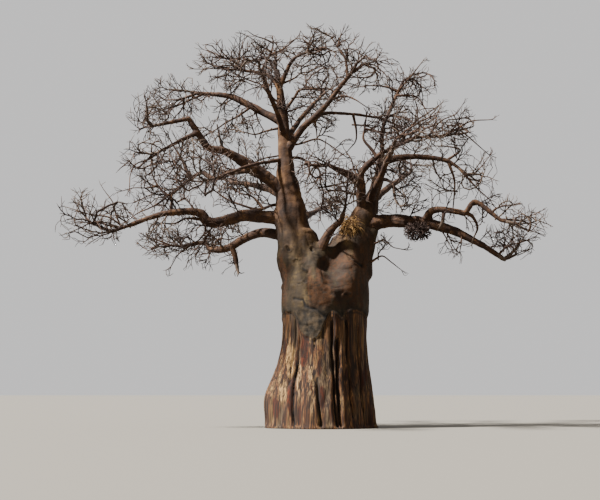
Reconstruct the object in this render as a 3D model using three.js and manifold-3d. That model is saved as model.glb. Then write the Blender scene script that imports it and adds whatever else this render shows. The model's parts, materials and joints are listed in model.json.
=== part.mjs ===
// A bare baobab tree: a fluted trunk on a flaring root, the boughs that fork from it, and the
// twigs that make up its leafless crown. Millimetres, +Z up, the origin in the middle of the
// flat cut at ground level. Seen from the front the eye looks along +Y, with +X to the right.

import * as THREE from "three";
import { mergeVertices } from "three/addons/utils/BufferGeometryUtils.js";
import Module from "manifold-3d";

const wasm = await Module();
wasm.setup();

// Trunk
const FORK_HEIGHT = 11000;
const SHOULDER_HEIGHT = 7600;
const WAIST_RADIUS = 2590;
const ROOT_RADIUS = 3290;
const ROOT_LIP = 110;
const ROOT_LIP_HEIGHT = 260;
const FLARE_START = 500;
const FLARE_TOP = 5600;
const SHOULDER_SWELL = 60;
const SWELL_START = 6400;
const LEAN = 290;
const LEAN_START = 1000;
const LEAN_TOP = 6500;
const FLUTE_DEPTH = 0.02;
const DOME_WIDTH_POWER = 0.35;
const DOME_DEPTH_POWER = 0.75;
const TRUNK_SIDES = 36;
const TRUNK_RINGS = 12;
const DOME_RINGS = 6;

// Limbs and twigs
const METRE = 1000;
const CLEARANCE = 0.3;
const LIMB_STEP = 900;
const STEM_LENGTH = 380;
const TWIG_STEP = 800;
const TWIG_TIP_RADIUS = 25;
const TWIG_TAPER = 2.1;
const TWIG_WANDER = 0.2;
const TWIG_LIFT = 0.1;
const TWIG_SIGHT = 0.35;
const CROWDING = 400;
const REACHED = 640;
const MOST_FORKS = 3;
const MOST_ROUNDS = 24;
const SPACE_MARGIN = 0.05;
const SPACE_SKIN = 1.06;
const INNER_MARKS = 0.45;
const MERGE_LENGTH = 0.1;

// Each limb: what it grows from, where along that (a point in metres on the trunk, or the leg
// number and share on another limb), its radius there, and then its legs. A leg is length,
// heading, rise and end radius, in metres and degrees; heading 0 is +X and 90 is away, +Y.
const LIMBS = {
  left_stem: ["trunk", [-1.15, -0.3, 9.1], 1.3, [
    [2.0, 180, 83, 1.2], [2.95, 178, 79, 0.86], [1.7, 142, 85, 0.5], [2.85, 115, 83, 0.36],
    [3.2, 142, 81, 0.19],
  ]],
  right_stem: ["trunk", [1.75, 0.3, 9.1], 1.45, [
    [1.65, 5, 83, 1.36], [1.9, 17, 69, 0.9], [2.1, 22, 67, 0.36], [2.1, 10, 74, 0.26],
  ]],
  big_left: ["left_stem", 1.5, 0.46, [
    [2.9, 186, 3, 0.37], [2.3, 191, -9, 0.31], [0.6, 199, 50, 0.28], [2.2, 191, -2, 0.2],
    [2.9, 188, -20, 0.12],
  ]],
  low_left: ["left_stem", 1.1, 0.36, [
    [2.3, 158, 12, 0.3], [2.9, 150, -16, 0.22], [0.88, 156, -3, 0.19], [0.12, 156, -3, 0.18],
    [0.12, 153, 46, 0.17], [0.53, 153, 46, 0.15], [1.0, 162, -5, 0.11],
  ]],
  upper_left: ["left_stem", 2.1, 0.44, [
    [2.5, 194, 34, 0.36], [1.9, 201, 29, 0.26], [1.35, 202, 8, 0.2],
  ]],
  elbow: ["upper_left", 3, 0.19, [
    [1.9, 200, 55, 0.16], [0.15, 200, 55, 0.16], [0.15, 190, -14, 0.155], [1.65, 190, -14, 0.1],
  ]],
  elbow_low: ["elbow", 0.5, 0.15, [[2.8, 213, -30, 0.09]]],
  mid_left: ["upper_left", 1, 0.22, [
    [2.0, 140, 0, 0.18], [1.2, 155, -11, 0.16], [1.0, 154, 25, 0.14], [1.6, 153, -25, 0.09],
  ]],
  high_left: ["left_stem", 4.05, 0.26, [
    [2.6, 165, 30, 0.24], [1.4, 166, 25, 0.19], [1.9, 165, 10, 0.13],
  ]],
  top_left: ["left_stem", 4.8, 0.16, [[1.1, 152, 47, 0.14], [1.9, 158, 16, 0.09]]],
  top_right: ["left_stem", 4.78, 0.15, [[2.05, 346, 61, 0.12], [0.95, 347, 23, 0.09]]],
  right_arm: ["left_stem", 3.4, 0.27, [
    [1.7, 332, 50, 0.22], [1.3, 338, 37, 0.2], [3.0, 334, 46, 0.13],
  ]],
  cross: ["right_arm", 1.9, 0.14, [[0.9, 54, 26, 0.12], [2.5, 42, 9, 0.1], [1.5, 33, 1, 0.08]]],
  right_low: ["right_stem", 1.8, 0.5, [
    [1.9, 348, 10, 0.42], [1.9, 342, -4, 0.36], [2.0, 345, -17, 0.28], [2.0, 350, -27, 0.21],
    [1.2, 0, -33, 0.15],
  ]],
  right_arch: ["right_low", 2.12, 0.22, [
    [0.95, 308, 43, 0.21], [1.6, 334, -5, 0.19], [0.5, 334, -15, 0.18], [0.85, 339, 50, 0.165],
    [0.85, 343, -33, 0.15], [1.05, 346, -40, 0.13], [0.65, 351, -17, 0.1],
  ]],
  inner_right: ["right_stem", 2.1, 0.32, [
    [2.15, 260, 59, 0.28], [0.85, 283, 68, 0.24], [1.6, 335, 41, 0.16], [1.5, 334, 20, 0.1],
  ]],
  inner_left: ["inner_right", 1.3, 0.28, [[0.95, 214, 21, 0.24], [1.3, 215, 16, 0.13]]],
  right_mid: ["right_stem", 3.92, 0.22, [
    [1.55, 348, 12, 0.19], [2.6, 347, -9, 0.15], [1.1, 347, -35, 0.09],
  ]],
  right_leader: ["right_stem", 4, 0.15, [
    [1.9, 84, 75, 0.13], [1.4, 46, 67, 0.12], [2.3, 28, 63, 0.09],
  ]],
  right_upper: ["right_stem", 3.75, 0.16, [
    [1.9, 35, 52, 0.14], [1.2, 28, 29, 0.12], [2.7, 22, 10, 0.09],
  ]],
  notch: ["trunk", [0, -0.9, 10.6], 0.3, [
    [1.4, 335, 59, 0.24], [0.85, 326, 35, 0.18], [1.2, 280, 26, 0.09],
  ]],
  hanging: ["right_stem", 3.2, 0.14, [
    [0.8, 303, 21, 0.12], [0.85, 310, -23, 0.1], [0.8, 279, -50, 0.08],
  ]],
  low_spur: ["right_low", 1.55, 0.12, [[1.0, 290, -30, 0.09]]],
  front_left: ["left_stem", 3.25, 0.13, [
    [2.8, 222, -15, 0.11], [2.35, 231, -22, 0.09], [2.0, 243, -19, 0.07],
  ]],
  front_mid: ["left_stem", 3.75, 0.2, [
    [1.9, 256, 34, 0.16], [2.2, 252, 28, 0.13], [1.9, 262, 14, 0.09],
  ]],
  front_right: ["right_stem", 2.6, 0.27, [
    [2.0, 285, 30, 0.22], [2.6, 282, 26, 0.16], [2.2, 276, 14, 0.1],
  ]],
  back_left: ["left_stem", 1.85, 0.34, [
    [2.6, 112, 25, 0.28], [3.0, 124, 16, 0.19], [2.4, 122, 12, 0.11],
  ]],
  back_right: ["right_stem", 2.3, 0.3, [
    [2.7, 66, 32, 0.24], [3.2, 58, 26, 0.17], [2.6, 68, 20, 0.1],
  ]],
  back_high: ["left_stem", 3.6, 0.22, [
    [2.7, 66, 42, 0.17], [2.9, 60, 38, 0.13], [2.0, 72, 28, 0.09],
  ]],
  back_low: ["left_stem", 1.3, 0.32, [
    [2.7, 77, 23, 0.26], [2.7, 75, 16, 0.18], [2.4, 80, 14, 0.1],
  ]],
};

// Each mass of twigs: the limb whose tip carries it, the way from that tip to the middle of its
// space (metres, +X right, +Y away, +Z up), the half widths of that space, how many marks its
// twigs grow towards and, where they are closer than the rest, the share of the usual step.
const MASSES = {
  twigs_big_left: ["big_left", [-1.5, -0.4, 0.5], [2.7, 2.2, 1.7], 84],
  twigs_low_left: ["low_left", [-1.5, 0.5, 0.1], [2, 2, 1.1], 58],
  twigs_elbow: ["elbow", [-0.4, -0.3, 0.4], [1.5, 2.1, 1.8], 46],
  twigs_elbow_low: ["elbow_low", [-0.5, -0.5, -0.5], [1.8, 2.1, 1.6], 58],
  twigs_mid_left: ["mid_left", [-1.4, 0.5, -0.3], [2.5, 2.3, 1.8], 64],
  twigs_high_left: ["high_left", [-1.6, 0.4, -0.2], [2.2, 2.3, 1.5], 52],
  twigs_top_left: ["top_left", [-0.8, 0.4, 0.2], [2, 2.1, 1.4], 64],
  twigs_leader: ["left_stem", [-0.5, 0, 1.3], [1.6, 1.9, 1.5], 46],
  twigs_top_right: ["top_right", [0.3, -0.2, -0.1], [2, 1.8, 1.4], 64],
  twigs_right_arm: ["right_arm", [0.8, -0.4, 0.45], [2.3, 2.2, 1.6], 64],
  twigs_cross: ["cross", [1.5, 0.6, 0.2], [1.8, 1.8, 1.3], 54],
  twigs_right_leader: ["right_leader", [0.8, 0.5, 0], [1.9, 2, 1.5], 50],
  twigs_right_upper: ["right_upper", [0.5, 0.4, 0.4], [1.8, 2.2, 1.6], 74],
  twigs_inner_right: ["inner_right", [1.2, -0.6, 0.9], [1.8, 2.1, 1.6], 46],
  twigs_right_mid: ["right_mid", [0.6, -0.2, -0.3], [1.8, 2.1, 1.8], 54],
  twigs_right_arch: ["right_arch", [0.9, -0.4, 0], [1.6, 1.9, 1.1], 54],
  twigs_right_low: ["right_low", [0.9, 0.2, 0.9], [1.5, 1.6, 1.1], 68],
  twigs_inner_left: ["inner_left", [-0.8, -0.6, -0.1], [1.9, 1.9, 1.6], 50],
  twigs_notch: ["notch", [-0.1, -1, 1.1], [1.5, 1.8, 1.6], 54],
  twigs_hanging: ["hanging", [0.6, -0.6, -0.5], [1.5, 1.7, 1.2], 46],
  twigs_tangle: ["low_spur", [0.25, -0.3, -0.3], [0.85, 0.85, 0.62], 60, 0.4],
  twigs_front_left: ["front_left", [-0.6, -2.2, 0.1], [2.4, 3.1, 1.7], 50],
  twigs_front_mid: ["front_mid", [-0.2, -2.3, -0.3], [2.4, 2.9, 1.7], 44],
  twigs_front_right: ["front_right", [1, -2.6, 0.3], [2.1, 3.1, 1.8], 50],
  twigs_back_left: ["back_left", [-0.2, 2.3, 0.2], [2.4, 3.1, 2], 52],
  twigs_back_right: ["back_right", [0.3, 2.2, 1.1], [2.4, 2.9, 1.8], 50],
  twigs_back_high: ["back_high", [0, 2.2, 0.9], [2.3, 2.8, 1.8], 50],
  twigs_back_low: ["back_low", [0.2, 2.5, 0.5], [2.7, 2.9, 1.9], 52],
};

const bark = new THREE.MeshStandardMaterial({ color: 0x7a5a3c, roughness: 0.95 });
const twigBark = new THREE.MeshStandardMaterial({ color: 0x4a382a, roughness: 0.95 });

// The same numbers every time for the same seed, from 0 up to 1.
function seeded(seed) {
  let state = seed >>> 0;
  return () => {
    state = (state + 0x6d2b79f5) >>> 0;
    let mixed = Math.imul(state ^ (state >>> 15), state | 1);
    mixed ^= mixed + Math.imul(mixed ^ (mixed >>> 7), mixed | 61);
    return ((mixed ^ (mixed >>> 14)) >>> 0) / 4294967296;
  };
}

// A closed three.js shape as a solid that can be joined and cut.
function solid(shape) {
  shape.deleteAttribute("normal");
  shape.deleteAttribute("uv");
  const merged = mergeVertices(shape);
  return new wasm.Manifold(new wasm.Mesh({
    numProp: 3,
    vertProperties: merged.attributes.position.array,
    triVerts: new Uint32Array(merged.index.array),
  }));
}

// A solid as a named mesh.
function meshOf(name, body, material) {
  const { numProp, vertProperties, triVerts } = body.getMesh();
  const shape = new THREE.BufferGeometry();
  const place = new THREE.InterleavedBuffer(vertProperties, numProp);
  const at = new Float32Array(place.count * 3);
  for (let i = 0; i < place.count; i++)
    at.set(vertProperties.subarray(i * numProp, i * numProp + 3), i * 3);
  shape.setAttribute("position", new THREE.BufferAttribute(at, 3));
  shape.setIndex(new THREE.BufferAttribute(triVerts, 1));
  shape.computeVertexNormals();
  const mesh = new THREE.Mesh(shape, material);
  mesh.name = name;
  return mesh;
}

// The largest connected body, with edges shorter than the merge length closed up.
function mainBody(body) {
  const parts = body.simplify(MERGE_LENGTH).decompose();
  return parts.reduce((best, part) => (part.volume() > best.volume() ? part : best));
}

function heading(degrees, rise) {
  const turn = THREE.MathUtils.degToRad(degrees);
  const up = THREE.MathUtils.degToRad(rise);
  return new THREE.Vector3(
    Math.cos(up) * Math.cos(turn), Math.cos(up) * Math.sin(turn), Math.sin(up),
  );
}

// Directions along a line of points, and a side vector carried from one to the next untwisted.
function framesAlong(points) {
  const along = points.map((point, i) => {
    const before = points[Math.max(i - 1, 0)];
    const after = points[Math.min(i + 1, points.length - 1)];
    return after.clone().sub(before).normalize();
  });
  const start = Math.abs(along[0].z) < 0.9 ? [0, 0, 1] : [1, 0, 0];
  let side = new THREE.Vector3(...start);
  return along.map((tangent) => {
    side = side.clone().addScaledVector(tangent, -side.dot(tangent)).normalize();
    return { tangent, side, up: side.clone().cross(tangent) };
  });
}

// A tapering tube through the points, each ring square to the line; grow makes it larger all
// round, ends too, for cutting a seat in whatever meets it.
function sweep(points, radii, sides, grow = 0) {
  const rings = points.length - 1;
  const shape = new THREE.CylinderGeometry(1, 1, 1, sides, rings);
  const frames = framesAlong(points);
  const place = shape.attributes.position;
  for (let i = 0; i < place.count; i++) {
    const ring = Math.round((place.getY(i) + 0.5) * rings);
    const { tangent, side, up } = frames[ring];
    const radius = radii[ring] + grow / Math.cos(Math.PI / sides);
    const push = ring === 0 ? -grow : ring === rings ? grow : 0;
    const at = points[ring].clone()
      .addScaledVector(side, place.getX(i) * radius)
      .addScaledVector(up, place.getZ(i) * radius)
      .addScaledVector(tangent, push);
    place.setXYZ(i, at.x, at.y, at.z);
  }
  return solid(shape);
}

// Half width of the trunk at a height and an angle: flared root, waist, swelling below the fork.
function trunkRadius(height, angle) {
  const flare = 1 - THREE.MathUtils.smoothstep(height, FLARE_START, FLARE_TOP);
  const swell = THREE.MathUtils.smoothstep(height, SWELL_START, SHOULDER_HEIGHT);
  const radius = WAIST_RADIUS + (ROOT_RADIUS - WAIST_RADIUS) * flare
    + SHOULDER_SWELL * swell + ROOT_LIP * Math.exp(-height / ROOT_LIP_HEIGHT);
  const flutes = Math.cos(5 * angle + 0.7) + 0.6 * Math.cos(8 * angle + 2 + height / 4000)
    + 0.4 * Math.cos(13 * angle + 4);
  return radius * (1 + FLUTE_DEPTH * (0.5 + 0.9 * flare) * flutes);
}

// The trunk's middle line leans a little to the right as it rises.
function trunkLean(height) {
  return LEAN * THREE.MathUtils.smoothstep(height, LEAN_START, LEAN_TOP);
}

function trunkSolid(grow = 0) {
  const rings = TRUNK_RINGS + DOME_RINGS;
  const shape = new THREE.CylinderGeometry(1, 1, 1, TRUNK_SIDES, rings);
  const place = shape.attributes.position;
  for (let i = 0; i < place.count; i++) {
    const ring = Math.round((place.getY(i) + 0.5) * rings);
    const dome = Math.max(0, ring - TRUNK_RINGS) / DOME_RINGS;
    const turn = dome * 0.94 * (Math.PI / 2);
    const height = ring <= TRUNK_RINGS
      ? SHOULDER_HEIGHT * (ring / TRUNK_RINGS) ** 1.25
      : SHOULDER_HEIGHT + (FORK_HEIGHT - SHOULDER_HEIGHT) * Math.sin(turn);
    const angle = Math.atan2(-place.getZ(i), place.getX(i));
    const share = Math.hypot(place.getX(i), place.getZ(i));
    const radius = trunkRadius(height, angle);
    const wide = (radius * Math.cos(turn) ** DOME_WIDTH_POWER + grow) * share;
    const deep = (radius * Math.cos(turn) ** DOME_DEPTH_POWER + grow) * share;
    place.setXYZ(
      i,
      trunkLean(height) + wide * Math.cos(angle),
      deep * Math.sin(angle),
      height + grow * dome,
    );
  }
  return solid(shape);
}

// Follows a limb's legs into a smooth line of points with a radius at each.
function traceLimb([parent, where, radius, legs], limbs) {
  const start = Array.isArray(where)
    ? new THREE.Vector3(...where).multiplyScalar(METRE)
    : limbs[parent].curve.getPoint(where / limbs[parent].legs);
  const joints = [start];
  const girths = [radius * METRE];
  for (const [length, turn, rise, end] of legs) {
    joints.push(joints.at(-1).clone().addScaledVector(heading(turn, rise), length * METRE));
    girths.push(end * METRE);
  }
  const curve = new THREE.CatmullRomCurve3(joints, false, "centripetal");
  const steps = Math.max(2 * legs.length, Math.round(curve.getLength() / LIMB_STEP));
  const points = curve.getPoints(steps);
  const radii = points.map((point, i) => {
    const place = (i / steps) * legs.length;
    const leg = Math.min(Math.floor(place), legs.length - 1);
    return THREE.MathUtils.lerp(girths[leg], girths[leg + 1], place - leg);
  });
  return { parent, curve, legs: legs.length, points, radii, sides: radius > 0.6 ? 12 : 8 };
}

// Every limb as a solid, each seated clear of the trunk and of the limbs made before it.
function buildLimbs(trunk) {
  const limbs = {};
  const seats = [trunkSolid(CLEARANCE)];
  const bodies = { trunk };
  for (const [name, row] of Object.entries(LIMBS)) {
    const limb = traceLimb(row, limbs);
    limbs[name] = limb;
    let body = sweep(limb.points, limb.radii, limb.sides);
    for (const seat of seats) body = body.subtract(seat);
    bodies[name] = mainBody(body);
    seats.push(sweep(limb.points, limb.radii, limb.sides, CLEARANCE));
  }
  return { limbs, bodies };
}

// Shortest distance between the segments a-b and c-d.
function segmentGap(a, b, c, d) {
  const first = b.clone().sub(a);
  const second = d.clone().sub(c);
  const apart = a.clone().sub(c);
  const ff = first.dot(first);
  const ss = second.dot(second);
  const fs = first.dot(second);
  const fa = first.dot(apart);
  const sa = second.dot(apart);
  const across = ff * ss - fs * fs;
  let s = across > 1e-9 ? THREE.MathUtils.clamp((fs * sa - fa * ss) / across, 0, 1) : 0;
  const t = THREE.MathUtils.clamp((fs * s + sa) / ss, 0, 1);
  s = THREE.MathUtils.clamp((fs * t - fa) / ff, 0, 1);
  return apart.addScaledVector(first, s).addScaledVector(second, -t).length();
}

// How far out a point lies in a mass's space: 1 on its skin.
function depthIn(space, point) {
  return Math.hypot(
    (point.x - space.middle.x) / space.half.x,
    (point.y - space.middle.y) / space.half.y,
    (point.z - space.middle.z) / space.half.z,
  );
}

// True when the point is in this space and nearer to its middle than to any other's.
function owns(space, spaces, point) {
  const own = depthIn(space, point);
  return own < SPACE_SKIN && spaces.every(
    (other) => other === space || depthIn(other, point) > own + SPACE_MARGIN,
  );
}

// Marks scattered through the space for the twigs to grow towards.
function scatterMarks(space, spaces, count, random) {
  const marks = [];
  for (let tries = 0; marks.length < count && tries < count * 20; tries++) {
    const spot = new THREE.Vector3(
      2 * random() - 1, 2 * random() - 1, 2 * random() - 1,
    );
    spot.setLength(THREE.MathUtils.lerp(INNER_MARKS, 1, random()));
    const mark = spot.multiply(space.half).add(space.middle);
    if (owns(space, spaces, mark)) marks.push(mark);
  }
  return marks;
}

// The joint nearest to a mark among those that have room for another fork and see the mark
// ahead of them, the way their twig runs.
function nearestJoint(joints, mark) {
  let nearest = -1;
  let gap = Infinity;
  joints.forEach((joint, i) => {
    const way = mark.clone().sub(joint.at);
    const far = way.length();
    const seen = way.dot(joint.onward) > TWIG_SIGHT * far;
    if (i > 0 && seen && joint.forks < MOST_FORKS && far < gap) [nearest, gap] = [i, far];
  });
  return nearest;
}

// Twigs branch from one stem: each round every mark pulls its nearest joint, and a joint grows
// one step the way it is pulled, until the mark is reached. A twig that leaves the space,
// crowds another or touches wood is skipped.
function growTwigs(space, spaces, wood, random) {
  let marks = scatterMarks(space, spaces, space.count, random);
  const start = space.tip.clone().addScaledVector(space.along, CLEARANCE);
  const collar = start.clone().addScaledVector(space.along, STEM_LENGTH);
  const joints = [start, collar].map((at, i) =>
    ({ at, parent: i - 1, forks: 0, onward: space.along }));
  const [step, crowding, reached] = [TWIG_STEP, CROWDING, REACHED].map((x) => x * space.fine);
  for (let round = 0; round < MOST_ROUNDS && marks.length; round++) {
    const pulls = new Map();
    for (const mark of marks) {
      const nearest = nearestJoint(joints, mark);
      if (nearest < 0) continue;
      const way = mark.clone().sub(joints[nearest].at).normalize();
      pulls.set(nearest, (pulls.get(nearest) ?? new THREE.Vector3()).add(way));
    }
    for (const [from, pull] of pulls) {
      const stray = new THREE.Vector3(random() - 0.5, random() - 0.5, random() - 0.5);
      pull.normalize().addScaledVector(stray, 2 * TWIG_WANDER);
      pull.z += TWIG_LIFT;
      pull.normalize();
      const at = joints[from].at.clone().addScaledVector(pull, step);
      joints[from].forks += 1;
      const crowded = joints.some((joint) => joint.at.distanceTo(at) < crowding);
      if (crowded || !owns(space, spaces, at)) continue;
      if (touches(joints[from].at, at, wood)) continue;
      joints.push({ at, parent: from, forks: 0, onward: pull });
    }
    marks = marks.filter((mark) => joints.every((joint) => joint.at.distanceTo(mark) > reached));
  }
  return joints;
}

// True when a twig between the two points would come too near any of the wood.
function touches(from, to, wood) {
  const reach = 3 * TWIG_TIP_RADIUS;
  return wood.some(
    ({ a, b, radius }) => segmentGap(from, to, a, b) < radius + reach,
  );
}

// A parent twig is as thick as its forks together.
function twigRadii(joints, most) {
  const radii = joints.map(() => 0);
  for (let i = joints.length - 1; i >= 0; i--) {
    radii[i] = radii[i] ? radii[i] ** (1 / TWIG_TAPER) : TWIG_TIP_RADIUS;
    const { parent } = joints[i];
    if (parent >= 0) radii[parent] += radii[i] ** TWIG_TAPER;
  }
  return radii.map((radius) => Math.min(radius, most));
}

// Lines of joints from a fork to a tip, each following its thickest twig.
function twigLines(joints, radii) {
  const forks = joints.map(() => []);
  joints.forEach(({ parent }, i) => parent >= 0 && forks[parent].push(i));
  forks.forEach((row) => row.sort((a, b) => radii[b] - radii[a]));
  const lines = [];
  const waiting = [[0]];
  while (waiting.length) {
    const line = waiting.pop();
    for (let last = line.at(-1); forks[last].length; last = line.at(-1)) {
      forks[last].slice(1).forEach((next) => waiting.push([last, next]));
      line.push(forks[last][0]);
    }
    lines.push(line);
  }
  return lines;
}

// All the twigs of one mass, joined into a single solid.
function massSolid(joints, most) {
  const radii = twigRadii(joints, most);
  const tubes = twigLines(joints, radii).map((line, n) => {
    const points = line.map((i) => joints[i].at);
    const girths = line.map((i, k) => (n && !k ? radii[line[1]] : radii[i]));
    girths[girths.length - 1] *= 0.7;
    return sweep(points, girths, 3);
  });
  return mainBody(tubes.reduce((whole, tube) => whole.add(tube)));
}

// The space of each mass, placed from the tip of the limb that carries it.
function layOutSpaces(limbs) {
  return Object.entries(MASSES).map(([name, [carrier, way, half, count, fine = 1]]) => {
    const { points, radii } = limbs[carrier];
    const tip = points.at(-1);
    return {
      name,
      carrier,
      count,
      fine,
      tip,
      along: framesAlong(points).at(-1).tangent,
      middle: tip.clone().addScaledVector(new THREE.Vector3(...way), METRE),
      half: new THREE.Vector3(...half).multiplyScalar(METRE),
      most: 0.9 * radii.at(-1),
    };
  });
}

function buildMasses(limbs) {
  const spaces = layOutSpaces(limbs);
  const wood = Object.values(limbs).flatMap(({ points, radii }) =>
    points.slice(1).map((b, i) => ({ a: points[i], b, radius: radii[i] })));
  const bodies = {};
  spaces.forEach((space, n) => {
    const joints = growTwigs(space, spaces, wood, seeded(101 + 17 * n));
    bodies[space.name] = massSolid(joints, space.most);
    joints.slice(1).forEach(({ at, parent }) => wood.push(
      { a: joints[parent].at, b: at, radius: TWIG_TIP_RADIUS },
    ));
  });
  return bodies;
}

const group = new THREE.Group();
group.name = "baobab_tree";
const { limbs, bodies } = buildLimbs(trunkSolid());
for (const [name, body] of Object.entries(bodies)) group.add(meshOf(name, body, bark));
for (const [name, body] of Object.entries(buildMasses(limbs)))
  group.add(meshOf(name, body, twigBark));

export default group;
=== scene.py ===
# %% [markdown]
# # A bare baobab, grown in Blender
# The frame gives the solids of the tree: a trunk, its boughs and coarse masses of twigs. Here
# each of them gets the look of the real thing. The frame's box is kept, and the marks that the
# finer twigs grow towards lie within a fifth of a metre of it. The frame's box is kept,
# because the finished tree has to stay inside it.

# %% The frame
import json
import math

import bpy
import numpy as np
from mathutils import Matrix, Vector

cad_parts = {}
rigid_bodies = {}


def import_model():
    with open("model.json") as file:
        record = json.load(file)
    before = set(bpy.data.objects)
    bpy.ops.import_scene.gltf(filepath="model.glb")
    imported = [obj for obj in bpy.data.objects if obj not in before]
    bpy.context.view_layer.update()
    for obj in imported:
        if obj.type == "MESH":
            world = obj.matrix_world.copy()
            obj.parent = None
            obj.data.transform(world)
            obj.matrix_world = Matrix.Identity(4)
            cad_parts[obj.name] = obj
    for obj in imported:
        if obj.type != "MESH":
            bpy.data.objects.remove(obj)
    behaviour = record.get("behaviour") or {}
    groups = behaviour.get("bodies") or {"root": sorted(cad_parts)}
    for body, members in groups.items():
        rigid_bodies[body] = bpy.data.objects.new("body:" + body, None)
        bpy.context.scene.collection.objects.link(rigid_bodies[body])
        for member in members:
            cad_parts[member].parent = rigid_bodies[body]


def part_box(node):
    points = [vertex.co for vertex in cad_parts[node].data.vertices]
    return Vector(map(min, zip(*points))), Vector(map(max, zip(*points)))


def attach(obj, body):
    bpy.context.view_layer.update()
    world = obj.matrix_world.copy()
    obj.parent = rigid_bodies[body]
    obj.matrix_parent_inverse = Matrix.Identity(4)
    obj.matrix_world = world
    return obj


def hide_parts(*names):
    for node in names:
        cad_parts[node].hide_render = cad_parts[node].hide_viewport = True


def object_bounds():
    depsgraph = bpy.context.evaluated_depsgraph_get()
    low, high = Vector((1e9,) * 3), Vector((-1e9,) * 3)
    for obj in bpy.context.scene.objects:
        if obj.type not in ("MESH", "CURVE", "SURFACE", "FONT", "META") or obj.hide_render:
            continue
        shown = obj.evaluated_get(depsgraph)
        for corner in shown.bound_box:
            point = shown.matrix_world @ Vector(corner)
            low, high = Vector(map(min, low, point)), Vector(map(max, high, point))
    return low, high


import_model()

cad_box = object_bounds()
print("frame box", cad_box)

# %% [markdown]
# ## The camera
# The photograph was taken from standing height, about seventy metres off, looking up a little.
# The camera is made first, so that every piece can be judged from it.

# %% Camera
IMAGE_WIDTH = 600
FOCAL_PIXELS = 1155
SENSOR_MM = 36
EYE = (-1.21, -70.0, 2.35)
LOOK_UP_DEGREES = 6.81
FARTHEST_VIEW = 400

bpy.ops.object.select_all(action="DESELECT")
bpy.ops.object.camera_add(
    location=EYE, rotation=(math.radians(90 + LOOK_UP_DEGREES), 0, 0))
camera = bpy.context.object
camera.name = "camera"
camera.data.sensor_width = SENSOR_MM
camera.data.lens = FOCAL_PIXELS / IMAGE_WIDTH * SENSOR_MM
camera.data.clip_end = FARTHEST_VIEW
bpy.context.scene.camera = camera
print("lens", round(camera.data.lens, 1), "mm")

# %% [markdown]
# ## The limbs as a survey
# A bough is easiest to describe as a surveyor would walk it: so far, on this heading, rising so
# much, and this thick at the end. The same legs made the solids, so both follow one line.
# Each row: what it grows from, where, its radius there, and its legs of length, heading, rise
# and end radius.

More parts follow.
